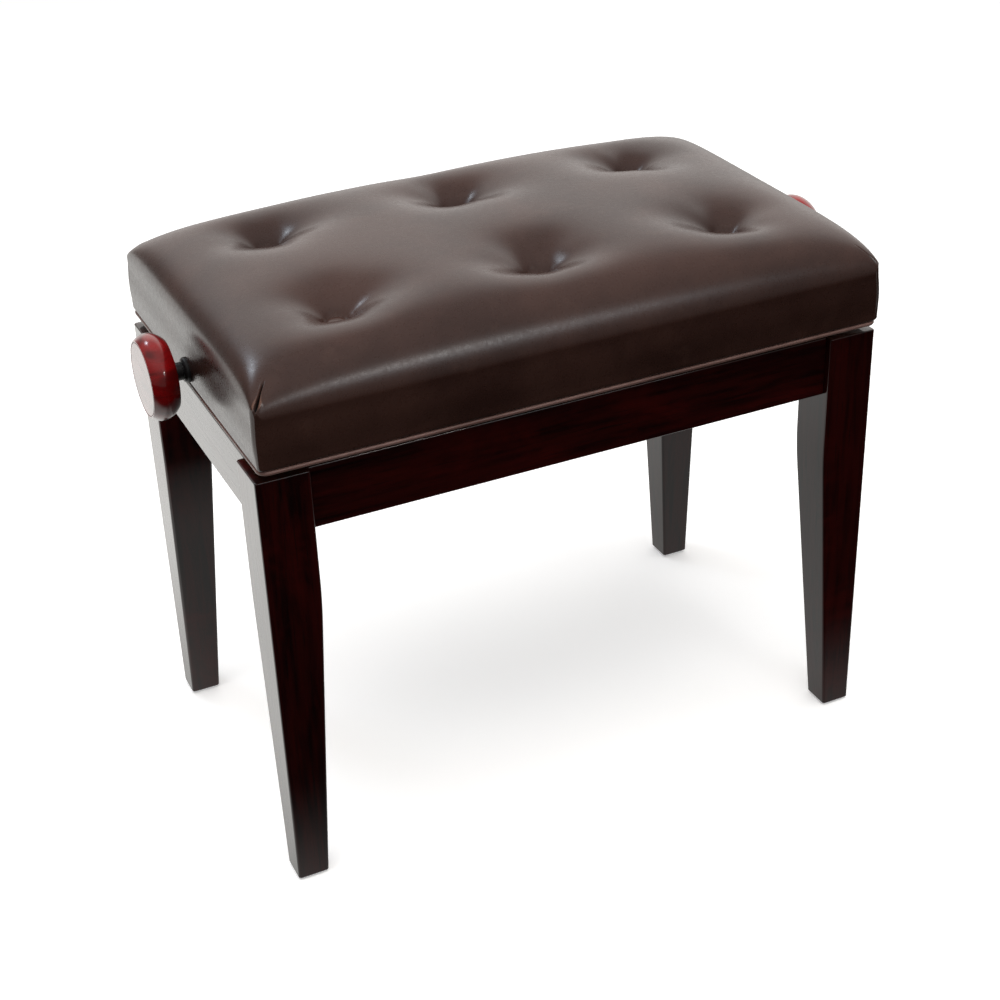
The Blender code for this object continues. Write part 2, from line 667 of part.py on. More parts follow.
def cushion_top(x, y, inset):
    # The height over a place: a crown that falls to the ends and to the sides, drawn down to one
    # level under each button by a bell-shaped weight. Inside the cover it is lower by the inset.
    along = fall(x / (cover_x - inset), END_FULLNESS, END_ROUNDING)
    across = fall(y / (cover_y - inset), SIDE_FULLNESS, SIDE_ROUNDING)
    height = cover_top_edge + (COVER_CROWN - inset) / (1 / along + 1 / across - 1)
    for button_x, button_y in button_places():
        away = np.maximum(np.hypot(x - button_x, y - button_y) - DIMPLE_FLAT, 0)
        weight = np.exp(-((away / DIMPLE_WIDTH) ** 2))
        height = height * (1 - weight) + (seat_bottom + BUTTON_SEAT_HEIGHT - inset) * weight
    return height


def core_lines(half, marks):
    # Grid lines over the middle: two beside each button so that its flat is kept, and even steps
    # between them.
    flat = DIMPLE_FLAT / sqrt(2)
    fixed = sorted([-half, half] + [mark + side * flat for mark in marks for side in (-1, 1)])
    lines = [fixed[0]]
    for start, end in zip(fixed, fixed[1:]):
        count = max(1, ceil((end - start) / CORE_STEP))
        lines += [start + (end - start) * step / count for step in range(1, count + 1)]
    return np.array(lines)


def lines_across(half, marks, inset):
    # The middle's lines, which every skin shares, and a few closer ones out to the skin's edge.
    lines = core_lines(half - COVER_EDGE_RADIUS, marks)
    share = np.sin(np.arange(1, EDGE_STEPS + 1) / EDGE_STEPS * pi / 2)
    edge = lines[-1] + (COVER_EDGE_RADIUS - inset) * share
    return np.concatenate([-edge[::-1], lines, edge])


def cushion_grid(inset):
    # The cushion's top, a distance inside the cover's outer one. The square of grid at each corner is
    # drawn in to a quarter disc.
    x, y = np.meshgrid(lines_across(cover_x, (-BUTTON_COLUMN_STEP, 0, BUTTON_COLUMN_STEP), inset),
                       lines_across(cover_y, (-BUTTON_ROW_OFFSET, BUTTON_ROW_OFFSET), inset), indexing="ij")
    past_x = np.maximum(np.abs(x) - (cover_x - COVER_EDGE_RADIUS), 0)
    past_y = np.maximum(np.abs(y) - (cover_y - COVER_EDGE_RADIUS), 0)
    drawn_in = 1 - np.maximum(past_x, past_y) / np.maximum(np.hypot(past_x, past_y), SMALLEST_SHARE)
    x = x - np.sign(x) * past_x * drawn_in
    y = y - np.sign(y) * past_y * drawn_in
    return np.stack([x, y, cushion_top(x, y, inset)], axis=-1)


def add_cushion_skin(shape, inset, bottom):
    # Adds the grid and a straight wall down from its rim, and returns the rim at the bottom.
    grid = cushion_grid(inset)
    rows, columns = grid.shape[:2]
    points = [[shape.verts.new(grid[i, j]) for j in range(columns)] for i in range(rows)]
    for i in range(rows - 1):
        for j in range(columns - 1):
            shape.faces.new((points[i][j], points[i + 1][j], points[i + 1][j + 1], points[i][j + 1]))
    rim = [row[0] for row in points[:-1]] + points[-1][:-1]
    rim += [row[-1] for row in points[:0:-1]] + points[0][:0:-1]
    foot = [shape.verts.new((*top.co[:2], bottom)) for top in rim]
    for here in range(len(rim)):
        after = (here + 1) % len(rim)
        shape.faces.new((rim[here], foot[here], foot[after], rim[after]))
    return foot


def cover_mesh():
    # The leather cover with its wadding: an outer and an inner skin joined round the lower edge.
    shape = bmesh.new()
    outer = add_cushion_skin(shape, 0, cover_bottom)
    inner = add_cushion_skin(shape, COVER_WALL, cover_bottom)
    for here in range(len(outer)):
        after = (here + 1) % len(outer)
        shape.faces.new((outer[here], inner[here], inner[after], outer[after]))
    holes = [bush_hole(), bush_hole()]
    holes[1].transform(Matrix.Rotation(pi, 4, "Z"))
    return shaped(mesh_from(shape, "cover"), holes)


def foam_mesh():
    shape = bmesh.new()
    shape.faces.new(add_cushion_skin(shape, COVER_WALL + SOFT_GAP, board_top + GAP))
    return mesh_from(shape, "foam")


def build_piping(finish):
    # A cord sewn round the cover's lower edge, flush with the cover's inner face.
    inset = COVER_WALL - PIPING_RADIUS - GAP
    path = rounded_rectangle(cover_x - inset, cover_y - inset, COVER_EDGE_RADIUS - inset)
    curve = bpy.data.curves.new("seat_piping", "CURVE")
    curve.dimensions = "3D"
    curve.bevel_depth = PIPING_RADIUS
    curve.bevel_resolution = 1
    line = curve.splines.new("POLY")
    line.points.add(len(path) - 1)
    for point, (x, y) in zip(line.points, path):
        point.co = (x, y, 0, 1)
    line.use_cyclic_u = True
    cord = put_in_scene("seat_piping", curve, finish["piping"])
    cord.location = (0, 0, seat_bottom + PIPING_RADIUS)


def build_cushion(finish):
    put_in_scene("seat_foam", foam_mesh(), finish["foam"])
    put_in_scene("seat_cover", smooth(cover_mesh()), finish["leather"])
    build_piping(finish)
    angles = np.linspace(0, pi / 2, BUTTON_DOME_STEPS + 1)
    dome = [(BUTTON_HEIGHT * cos(a), BUTTON_RADIUS * sin(a)) for a in angles]
    button = turned_mesh([(0, 0), *dome[:0:-1], (BUTTON_HEIGHT, 0)], SMALL_STEPS)
    places = button_places()
    names = ["front_left", "front_middle", "front_right", "back_left", "back_middle", "back_right"]
    for name, (x, y) in zip(names, places):
        piece = put_in_scene("button_" + name, button, finish["button"])
        piece.location = (x, y, seat_bottom + BUTTON_SEAT_HEIGHT + GAP)


def make_finishes():
    # Each finish's colour, roughness and metallic value.
    looks = {
        "mahogany": ((0.040, 0.007, 0.008), 0.15, 0.0),
        "block": ((0.20, 0.10, 0.06), 0.6, 0.0),
        "felt": ((0.02, 0.02, 0.02), 0.9, 0.0),
        "zinc": ((0.55, 0.55, 0.56), 0.35, 1.0),
        "steel": ((0.03, 0.03, 0.033), 0.45, 0.6),
        "brass": ((0.60, 0.45, 0.18), 0.35, 1.0),
        "black": ((0.012, 0.012, 0.013), 0.35, 0.0),
        "knob": ((0.16, 0.008, 0.010), 0.08, 0.0),
        "plywood": ((0.42, 0.27, 0.15), 0.65, 0.0),
        "foam": ((0.80, 0.76, 0.55), 0.9, 0.0),
        "leather": ((0.042, 0.026, 0.023), 0.38, 0.0),
        "piping": ((0.075, 0.050, 0.046), 0.4, 0.0),
        "button": ((0.042, 0.026, 0.023), 0.35, 0.0),
    }
    return {name: make_material(name, *values) for name, values in looks.items()}


clear_scene()
finishes = make_finishes()
build_frame(finishes)
build_lower_rails(finishes)
build_lower_arms(finishes)
build_upper_arms(finishes)
build_upper_rails(finishes)
build_screw(finishes)
build_seat_box(finishes)
build_cushion(finishes)
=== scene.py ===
from math import pi

import bmesh
import bpy
import numpy as np
from mathutils import Matrix, Vector


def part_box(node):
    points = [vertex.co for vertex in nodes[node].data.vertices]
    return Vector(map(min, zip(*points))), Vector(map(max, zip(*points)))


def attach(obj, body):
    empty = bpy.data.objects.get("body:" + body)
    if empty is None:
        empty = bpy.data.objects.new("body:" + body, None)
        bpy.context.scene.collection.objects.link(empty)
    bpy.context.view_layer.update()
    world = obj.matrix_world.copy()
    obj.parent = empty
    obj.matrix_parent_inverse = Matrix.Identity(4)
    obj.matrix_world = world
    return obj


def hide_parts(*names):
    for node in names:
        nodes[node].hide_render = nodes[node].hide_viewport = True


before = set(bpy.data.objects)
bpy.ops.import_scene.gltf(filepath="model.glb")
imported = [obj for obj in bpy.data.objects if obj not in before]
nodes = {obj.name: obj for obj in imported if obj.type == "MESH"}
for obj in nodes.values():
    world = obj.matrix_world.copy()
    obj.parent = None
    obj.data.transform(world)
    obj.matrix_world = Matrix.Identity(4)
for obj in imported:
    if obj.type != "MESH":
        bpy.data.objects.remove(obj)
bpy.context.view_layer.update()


def boxOf(name):
    low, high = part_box(name)
    return np.array(low), np.array(high)


# Mesh helpers

flatStrip = 0.0006  # beside each rounded edge, so that flats shade flat
tiny = 1e-9
clearance = 0.0003


def addPiece(name, points, quads, triangles, material, body, standsFor, slot, sharp=0.6):
    # Puts points and faces into a mesh that rides a body. The signed volume, a sum over the triangles of
    # a . (b x c) / 6, says whether the faces point outwards, and turns them round if they don't.
    quads = np.asarray(quads, int).reshape(-1, 4)
    triangles = np.asarray(triangles, int).reshape(-1, 3)
    split = np.concatenate([quads[:, [0, 1, 2]], quads[:, [0, 2, 3]], triangles])
    a, b, c = (points[split[:, i]] for i in range(3))
    if np.einsum("ij,ij->i", a, np.cross(b, c)).sum() < 0:
        quads, triangles = quads[:, ::-1], triangles[:, ::-1]
    mesh = bpy.data.meshes.new(name)
    mesh.from_pydata(points.tolist(), [], quads.tolist() + triangles.tolist())
    mesh.update()
    mesh.shade_smooth()
    if sharp:
        mesh.set_sharp_from_angle(angle=sharp)
    mesh.materials.append(material)
    piece = bpy.data.objects.new(name, mesh)
    bpy.context.scene.collection.objects.link(piece)
    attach(piece, body)
    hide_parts(*standsFor)
    return piece


def quadsBetween(index):
    # Quads between the neighbours of a grid of point numbers.
    return np.stack([index[:-1, :-1], index[1:, :-1], index[1:, 1:], index[:-1, 1:]], -1).reshape(-1, 4)


def gridFaces(rows, columns, roundRows=False, roundColumns=True):
    # Quads of a grid whose points are numbered row by row, closed on itself along its rows, its
    # columns, both or neither.
    index = np.arange(rows * columns).reshape(rows, columns)
    if roundColumns:
        index = np.concatenate([index, index[:, :1]], 1)
    if roundRows:
        index = np.concatenate([index, index[:1]], 0)
    return quadsBetween(index)


def fan(ring, centre):
    # Triangles from one centre point to a closed ring of points.
    return np.stack([np.full(len(ring), centre), ring, np.roll(ring, -1)], -1)


def tubeFrom(grid):
    # A grid closed round its columns, with a fan of triangles to the middle of its first and last rows.
    rows, columns = grid.shape[:2]
    points = np.concatenate([grid.reshape(-1, 3), [grid[0].mean(0)], [grid[-1].mean(0)]])
    quads = gridFaces(rows, columns)
    last = rows * columns
    first = fan(np.arange(columns), last)
    end = fan(np.arange(last - columns, last)[::-1], last + 1)
    return points, quads, np.concatenate([first, end])


def ringTemplate(radius, steps):
    # A rounded square as signs and offsets: a point is sign * half side + offset. Each corner is a
    # quarter circle, with one more point on the flat at each side of it so that flats shade flat.
    start = np.arange(4)[:, None] * pi / 2
    angle = start + np.linspace(0, pi / 2, steps + 1)[None]
    angle = np.concatenate([angle[:, :1], angle, angle[:, -1:]], 1)
    shift = np.zeros_like(angle)
    shift[:, 0], shift[:, -1] = -flatStrip, flatStrip
    signs = np.stack([np.where((start == 0) | (start > pi), 1, -1) + 0 * angle,
                      np.where(start < pi - 0.1, 1, -1) + 0 * angle], -1)
    arc = np.stack([np.cos(angle), np.sin(angle)], -1)
    along = np.stack([-np.sin(angle), np.cos(angle)], -1)
    offset = -signs * radius + radius * arc + shift[..., None] * along
    return signs.reshape(-1, 2), offset.reshape(-1, 2)


def barGrid(places, centres, halves, radius, axis, steps):
    # A bar with a rounded rectangular section carried along an axis: at each place along it the
    # section has its own centre and half sizes.
    signs, offset = ringTemplate(radius, steps)
    section = centres[:, None, :] + signs[None] * halves[:, None, :] + offset[None]
    along = np.repeat(places[:, None, None], len(signs), 1)
    others = {"x": (1, 2, 0), "y": (2, 0, 1), "z": (0, 1, 2)}[axis]
    stacked = np.concatenate([section, along], -1)
    grid = np.empty_like(stacked)
    grid[..., list(others)] = stacked
    return grid


def easedEnds(low, high, edge, middle, steps=4):
    # Places along a bar whose ends are rounded by a quarter circle, and how much the section is drawn
    # in at each place.
    turn = np.linspace(0, pi / 2, steps + 1)
    rise, draw = edge * (1 - np.cos(turn)), edge * (1 - np.sin(turn))
    inner = np.array([low + edge + flatStrip, *middle, high - edge - flatStrip])
    places = np.concatenate([low + rise, inner, high - rise[::-1]])
    drawn = np.concatenate([draw, np.zeros(len(inner)), draw[::-1]])
    return places, drawn


def roundedBar(low, high, axis, radius, edge, middle, steps=5):
    # A box between two corners with rounded edges, longest along the axis.
    main = "xyz".index(axis)
    others = {"x": [1, 2], "y": [2, 0], "z": [0, 1]}[axis]
    places, drawn = easedEnds(low[main], high[main], edge, middle)
    centre = ((low + high) / 2)[others]
    half = ((high - low) / 2)[others]
    centres = np.repeat(centre[None], len(places), 0)
    halves = half[None] - drawn[:, None]
    return tubeFrom(barGrid(places, centres, halves, radius, axis, steps))


def easedProfile(points, radii, steps=4):
    # A profile whose corners are rounded: each inner point is replaced by a short quadratic curve that
    # starts and ends a given distance from it, or just under half its side if that is less.
    points = np.asarray(points, float)
    out = [points[:1]]
    share = np.linspace(0, 1, steps + 1)[:, None]
    for before, here, after, radius in zip(points[:-2], points[1:-1], points[2:], radii):
        back, ahead = before - here, after - here
        start, end = (here + way * min(radius / np.linalg.norm(way), 0.48) for way in (back, ahead))
        out.append((1 - share) ** 2 * start + 2 * share * (1 - share) * here + share ** 2 * end)
    return np.concatenate(out + [points[-1:]])


def turned(profile, origin, direction, steps=64, ripple=None):
    # A profile of (distance along the axis, radius) spun round the axis. A first and last radius of
    # zero close it there, and any other profile is closed end to end as a ring.
    profile = np.asarray(profile, float)
    solid = profile[0, 1] < tiny
    line = profile[1:-1] if solid else profile
    angle = np.arange(steps) / steps * 2 * pi
    radius = line[:, 1:2] * (1 + (0 if ripple is None else ripple(line, angle)))
    along = np.repeat(line[:, :1], steps, 1)
    direction = np.asarray(direction, float)
    side = np.array([0, 1, 0.0]) if abs(direction[1]) < 0.5 else np.array([1.0, 0, 0])
    other = np.cross(direction, side)
    grid = (np.asarray(origin, float) + along[..., None] * direction
            + (radius * np.cos(angle))[..., None] * side + (radius * np.sin(angle))[..., None] * other)
    if solid:
        made = tubeFrom(grid)
        made[0][-2] = np.asarray(origin) + profile[0, 0] * direction
        made[0][-1] = np.asarray(origin) + profile[-1, 0] * direction
        return made
    return grid.reshape(-1, 3), gridFaces(len(line), steps, roundRows=True), np.zeros((0, 3), int)


def smoothStep(x, low, high):
    t = np.clip((x - low) / (high - low), 0, 1)
    return t * t * (3 - 2 * t)


# Material helpers

def newMaterial(name, colour=(0.5, 0.5, 0.5), roughness=0.5, **values):
    material = bpy.data.materials.new(name)
    material.use_nodes = True
    tree = material.node_tree
    shader = tree.nodes["Principled BSDF"]
    shader.inputs["Base Color"].default_value = (*colour, 1)
    shader.inputs["Roughness"].default_value = roughness
    for socket, value in values.items():
        shader.inputs[socket.replace("_", " ")].default_value = value
    return material, tree, shader


def addNode(tree, kind, inputs=None, **settings):
    node = tree.nodes.new(kind)
    for key, value in settings.items():
        setattr(node, key, value)
    for key, value in (inputs or {}).items():
        if isinstance(value, bpy.types.NodeSocket):
            tree.links.new(value, node.inputs[key])
        else:
            node.inputs[key].default_value = value
    return node


def placeNode(tree, stretch=(1, 1, 1)):
    # Object coordinates, stretched for a pattern.
    coords = addNode(tree, "ShaderNodeTexCoord").outputs["Object"]
    return addNode(tree, "ShaderNodeMapping", {"Vector": coords, "Scale": stretch}).outputs["Vector"]


def noiseNode(tree, vector, scale, detail=4.0, roughness=0.55, distortion=0.0):
    inputs = {"Vector": vector, "Scale": scale, "Detail": detail, "Roughness": roughness,
              "Distortion": distortion}
    return addNode(tree, "ShaderNodeTexNoise", inputs).outputs["Fac"]


def rampNode(tree, value, stops):
    ramp = addNode(tree, "ShaderNodeValToRGB", {"Fac": value})
    line = ramp.color_ramp
    line.interpolation = "EASE"
    while len(line.elements) < len(stops):
        line.elements.new(0.5)
    for element, (place, colour) in zip(line.elements, stops):
        element.position = place
        element.color = (*colour, 1)
    return ramp.outputs["Color"]


def maskNode(tree, value, low, high, amount=1.0):
    # Eases from nothing at the low value to an amount at the high one.
    return rampNode(tree, value, [(low, (0, 0, 0)), (high, (amount, amount, amount))])


def rangeNode(tree, value, fromLow, fromHigh, toLow=0.0, toHigh=1.0, shape="LINEAR"):
    inputs = {"Value": value, "From Min": fromLow, "From Max": fromHigh, "To Min": toLow, "To Max": toHigh}
    return addNode(tree, "ShaderNodeMapRange", inputs, interpolation_type=shape).outputs["Result"]


def mixNode(tree, factor, first, second):
    ends = [end if isinstance(end, bpy.types.NodeSocket) else (*end, 1) for end in (first, second)]
    return addNode(tree, "ShaderNodeMix", {0: factor, 6: ends[0], 7: ends[1]}, data_type="RGBA").outputs[2]


def mathNode(tree, operation, first, second):
    return addNode(tree, "ShaderNodeMath", {0: first, 1: second}, operation=operation).outputs[0]


def bumpNode(tree, height, distance, strength, target, after=None):
    # A bump of its own on the shader's normal or coat normal, on top of another if one is given.
    inputs = {"Height": height, "Distance": distance, "Strength": strength}
    if after is not None:
        inputs["Normal"] = after
    bump = addNode(tree, "ShaderNodeBump", inputs).outputs["Normal"]
    tree.links.new(bump, target)
    return bump


def paint(tree, shader, colour, rough):
    tree.links.new(colour, shader.inputs["Base Color"])
    tree.links.new(rough, shader.inputs["Roughness"])


# Finishes

lacquer = {"dark": (0.005, 0.0008, 0.0009), "red": (0.024, 0.0018, 0.0014),
           "flame": (0.050, 0.0022, 0.0014), "pore": (0.003, 0.0008, 0.0008),
           "coatRoughness": 0.035, "across": 14.0, "poreAcross": 33.6}


def mahoganyFinish(name, grain):
    # Lacquered mahogany: long fibres along the grain, broad redder patches, open pores that show
    # faintly through a glossy coat, and a coat with a little orange peel.
    material, tree, shader = newMaterial(name, Coat_Weight=1.0, Coat_Roughness=lacquer["coatRoughness"],
                                         Coat_IOR=1.5, Specular_IOR_Level=0.15)
    along, porous = (tuple(1.0 if axis == grain else lacquer[key] for axis in "xyz")
                     for key in ("across", "poreAcross"))
    fibres = noiseNode(tree, placeNode(tree, along), 9.0, 6.0, 0.6, 0.4)
    pores = noiseNode(tree, placeNode(tree, porous), 26.0, 3.0, 0.5)
    patches = noiseNode(tree, placeNode(tree, (5, 5, 5) if grain == "z" else (4, 4, 9)), 2.2, 4.0, 0.65, 0.6)
    wood = rampNode(tree, fibres, [(0.30, lacquer["dark"]), (0.62, lacquer["red"])])
    flame = mathNode(tree, "MULTIPLY", maskNode(tree, patches, 0.48, 0.70), 0.55)
    wood = mixNode(tree, flame, wood, lacquer["flame"])
    sunk = rampNode(tree, pores, [(0.28, (0.7, 0.7, 0.7)), (0.42, (0, 0, 0))])
    wood = mixNode(tree, sunk, wood, lacquer["pore"])
    paint(tree, shader, wood, rangeNode(tree, pores, 0.2, 0.8, 0.42, 0.26))
    bumpNode(tree, pores, 0.00005, 0.3, shader.inputs["Normal"])
    bumpNode(tree, noiseNode(tree, placeNode(tree), 55.0, 2.0), 0.00002, 0.1, shader.inputs["Coat Normal"])
    return material


# lip colours the pleats' lips, partly rubbed wear and partly a painted highlight; the near-black colour after
# it is the painted shade inside the pleats' grooves.
leatherLook = {"deep": (0.023, 0.0092, 0.0068), "body": (0.039, 0.0170, 0.0125),
               "worn": (0.060, 0.030, 0.022), "lip": (0.120, 0.055, 0.035),
               "shadedSlit": (0.002, 0.0015, 0.001), "roughness": (0.25, 0.33), "grain": 620.0, "warp": 0.004}


def leatherFinish(name, look=leatherLook, bump=0.000028, wear=0.0, folded=False):
    # Semi-gloss leather: a fine pebbled grain from a cell pattern broken up by noise, slow changes of
    # tone, and a roughness that follows the grain. Folds are painted near black inside, a painted shade,
    # and paler on their lips, partly rubbed wear and partly a painted highlight.
    material, tree, shader = newMaterial(name, Coat_Weight=0.12, Coat_Roughness=0.22, Coat_IOR=1.5,
                                         Specular_IOR_Level=0.42)
    place = placeNode(tree)
    warp = addNode(tree, "ShaderNodeTexNoise", {"Vector": place, "Scale": 90.0, "Detail": 2.0})
    shifted = addNode(tree, "ShaderNodeVectorMath", {0: warp.outputs["Color"], 1: (look["warp"],) * 3},
                      operation="MULTIPLY").outputs[0]
    bent = addNode(tree, "ShaderNodeVectorMath", {0: place, 1: shifted}, operation="ADD").outputs[0]
    cells = addNode(tree, "ShaderNodeTexVoronoi", {"Vector": bent, "Scale": look["grain"]},
                    feature="SMOOTH_F1").outputs["Distance"]
    tone = noiseNode(tree, place, 9.0, 5.0, 0.6, 0.3)
    fine = noiseNode(tree, place, 260.0, 3.0)
    colour = rampNode(tree, tone, [(0.32, look["deep"]), (0.66, look["body"])])
    colour = mixNode(tree, maskNode(tree, cells, 0.55, 0.95, 0.45), colour, look["deep"])
    if wear:
        rub = noiseNode(tree, place, 38.0, 5.0, 0.65)
        colour = mixNode(tree, maskNode(tree, rub, 0.55, 0.75, wear), colour, look["worn"])
    rough = rangeNode(tree, fine, 0.3, 0.7, *look["roughness"])
    if folded:
        # The fold attribute paints the pleats: paler lips, partly rubbed wear and partly a painted highlight,
        # and grooves painted near black and rougher, a painted shade.
        fold = addNode(tree, "ShaderNodeAttribute", attribute_name="fold").outputs["Fac"]
        colour = mixNode(tree, maskNode(tree, fold, 0.15, 0.85, 0.8), colour, look["lip"])
        shadedSlit = maskNode(tree, mathNode(tree, "MULTIPLY", fold, -1.0), 0.1, 0.6)
        colour = mixNode(tree, shadedSlit, colour, look["shadedSlit"])
        rough = mathNode(tree, "ADD", rough, mathNode(tree, "MULTIPLY", shadedSlit, 0.5))
    paint(tree, shader, colour, rough)
    normal = shader.inputs["Normal"]
    grain = bumpNode(tree, mathNode(tree, "MULTIPLY", cells, -1.0), bump, 0.35, normal)
    bumpNode(tree, fine, bump * 0.8, 0.5, normal, grain)
    return material


knobReds = ((0.060, 0.0006, 0.0010), (0.170, 0.0014, 0.0022), (0.260, 0.0028, 0.0030))


def knobFinish(name):
    # Turned wood under a tinted red lacquer: streaks of three reds, and a deep coat.
    material, tree, shader = newMaterial(name, Coat_Weight=1.0, Coat_Roughness=0.015, Coat_IOR=1.43,
                                         Specular_IOR_Level=0.25)
    streaks = noiseNode(tree, placeNode(tree, (1, 2, 5)), 16.0, 2.0, 0.5, 0.5)
    colour = rampNode(tree, streaks, list(zip((0.30, 0.55, 0.75), knobReds)))
    paint(tree, shader, colour, rangeNode(tree, streaks, 0.3, 0.7, 0.30, 0.24))
    bumpNode(tree, streaks, 0.00001, 0.2, shader.inputs["Normal"])
    return material


metalDirt = {"colour": (0.05, 0.045, 0.04), "shade": 0.62}


def metalFinish(name, colour, roughness, metallic, brush, speck, coat=0.0):
    # Plated or painted metal: blotchy roughness, fine brushing along one axis and specks of dirt.
    material, tree, shader = newMaterial(name, Metallic=metallic, Coat_Weight=coat, Coat_Roughness=0.2)
    blotch = noiseNode(tree, placeNode(tree), 45.0, 5.0, 0.6)
    brushed = noiseNode(tree, placeNode(tree, brush), 240.0, 3.0, 0.6)
    shade = tuple(c * metalDirt["shade"] for c in colour)
    tinted = mixNode(tree, maskNode(tree, blotch, 0.35, 0.75, 0.7), colour, shade)
    dirt = noiseNode(tree, placeNode(tree), 300.0, 2.0)
    tinted = mixNode(tree, maskNode(tree, dirt, 0.62, 0.72, speck), tinted, metalDirt["colour"])
    paint(tree, shader, tinted, rangeNode(tree, blotch, 0.3, 0.7, *roughness))
    bumpNode(tree, brushed, 0.00003, 0.4, shader.inputs["Normal"])
    return material


def rawWoodFinish(name, pale, deep, grain, layers=0.0):
    # Bare wood: fibres along the grain and wide growth bands; plywood also shows its layers, thin even
    # stripes through its thickness, on its edges.
    material, tree, shader = newMaterial(name, Specular_IOR_Level=0.3)
    along, wide = (tuple(one if axis == grain else other for axis in "xyz")
                   for one, other in ((1.0, 11.0), (0.6, 3.0)))
    fibres = noiseNode(tree, placeNode(tree, along), 16.0, 6.0, 0.65, 0.5)
    bands = noiseNode(tree, placeNode(tree, wide), 8.0, 3.0, 0.5, 1.2)
    colour = rampNode(tree, fibres, [(0.28, deep), (0.68, pale)])
    colour = mixNode(tree, maskNode(tree, bands, 0.42, 0.60, 0.35), colour, deep)
    if layers:
        inputs = {"Vector": placeNode(tree, (0.02, 0.02, 1.0)), "Scale": layers, "Distortion": 0.15}
        wave = addNode(tree, "ShaderNodeTexWave", inputs, bands_direction="Z").outputs["Fac"]
        colour = mixNode(tree, maskNode(tree, wave, 0.35, 0.55, 0.4), colour, deep)
    paint(tree, shader, colour, rangeNode(tree, fibres, 0.3, 0.7, 0.78, 0.58))
    bumpNode(tree, fibres, 0.00018, 0.6, shader.inputs["Normal"])
    return material


def gritFinish(name, scale, detail, rough, colours, roughness, bump, strength, **values):
    # One fine noise gives the tone, the roughness and the bump: the fluff of felt, or the faint
    # spark-eroded texture of moulded nylon.
    material, tree, shader = newMaterial(name, **values)
    grit = noiseNode(tree, placeNode(tree), scale, detail, rough)
    tone = rampNode(tree, grit, list(zip((0.3, 0.7), colours)))
    paint(tree, shader, tone, rangeNode(tree, grit, 0.3, 0.7, *roughness))
    bumpNode(tree, grit, bump, strength, shader.inputs["Normal"])
    return material


# The piping is the seat's leather, given paler tones as a painted highlight along the cord.
pipingHighlightLook = {**leatherLook, "deep": (0.110, 0.055, 0.045), "body": (0.180, 0.100, 0.085),
              "roughness": (0.30, 0.40)}
buttonLook = {**leatherLook, "roughness": (0.30, 0.40)}
feltTones = ((0.010, 0.010, 0.010), (0.038, 0.036, 0.034))
nylonTones = ((0.0055, 0.0055, 0.006), (0.011, 0.011, 0.012))
plain = (1, 1, 1)
finishes = {
    "mahoganyX": mahoganyFinish("mahogany_lengthwise", "x"),
    "mahoganyY": mahoganyFinish("mahogany_crosswise", "y"),
    "mahoganyZ": mahoganyFinish("mahogany_upright", "z"),
    "leather": leatherFinish("seat_leather", wear=0.25, folded=True),
    "piping": leatherFinish("piping_leather", pipingHighlightLook, 0.00004, 0.5),
    "button": leatherFinish("button_leather", buttonLook, 0.00005),
    "knob": knobFinish("knob_lacquer"),
    "steel": metalFinish("black_enamelled_steel", (0.022, 0.022, 0.024), (0.32, 0.46), 0.0, plain, 0.3, 0.4),
    "zincX": metalFinish("zinc_plate_turned", (0.56, 0.56, 0.58), (0.26, 0.42), 1.0, (12, 1, 1), 0.2),
    "zinc": metalFinish("zinc_plate", (0.52, 0.53, 0.55), (0.30, 0.46), 1.0, plain, 0.2),
    "brass": metalFinish("brass", (0.62, 0.45, 0.17), (0.28, 0.44), 1.0, (1, 8, 1), 0.2),
    "block": rawWoodFinish("corner_block_wood", (0.30, 0.15, 0.085), (0.14, 0.065, 0.036), "z"),
    "plywood": rawWoodFinish("plywood", (0.52, 0.36, 0.21), (0.36, 0.22, 0.12), "x", 110.0),
    "felt": gritFinish("felt", 900.0, 4.0, 0.7, feltTones, (0.85, 1.0), 0.0003, 0.8, Sheen_Weight=0.6,
                       Sheen_Roughness=0.5, Specular_IOR_Level=0.2),
    "nylon": gritFinish("black_nylon", 700.0, 3.0, 0.6, nylonTones, (0.30, 0.46), 0.00005, 0.5),
}
print("finishes made:", len(finishes))


# Wooden frame

legs = {"edge": 0.0022, "edgeSteps": 6, "endEdge": 0.0010, "taperStart": 0.2656, "blend": 0.020, "rows": 46,
        "rowsFrom": 0.01, "pastPad": 0.006}


def legPiece(corner):
    # A square section carried up the leg. Its two outer faces stand upright, and its width grows from
    # the foot in a straight line up to the taper's start, with a parabola easing the two lines.
    low, high = boxOf("leg_" + corner)
    sign = np.array([1 if "right" in corner else -1, 1 if "back" in corner else -1])
    outer = np.where(sign > 0, high[:2], low[:2])
    full = high[0] - low[0]
    footLow, footHigh = boxOf("foot_pad_" + corner)
    foot = footHigh[0] - footLow[0] + legs["pastPad"]
    rows = np.linspace(low[2] + legs["rowsFrom"], high[2] - legs["rowsFrom"], legs["rows"])
    places, drawn = easedEnds(low[2], high[2], legs["endEdge"], rows)
    below, blend = legs["taperStart"] - places, legs["blend"]
    eased = np.where(abs(below) < blend, (below + blend) ** 2 / (4 * blend), np.maximum(below, 0))
    width = full - (full - foot) / legs["taperStart"] * eased
    centres = outer[None] - sign[None] * width[:, None] / 2
    halves = np.repeat((width / 2 - drawn)[:, None], 2, 1)
    made = tubeFrom(barGrid(places, centres, halves, legs["edge"], "z", legs["edgeSteps"]))
    addPiece("leg_" + corner + "_wood", *made, finishes["mahoganyZ"], "frame", ["leg_" + corner],
             "mahogany", 0)


aprons = {"edge": 0.0016, "end": 0.0005, "tenon": 0.0123, "rows": 12, "rowsFrom": 0.02}


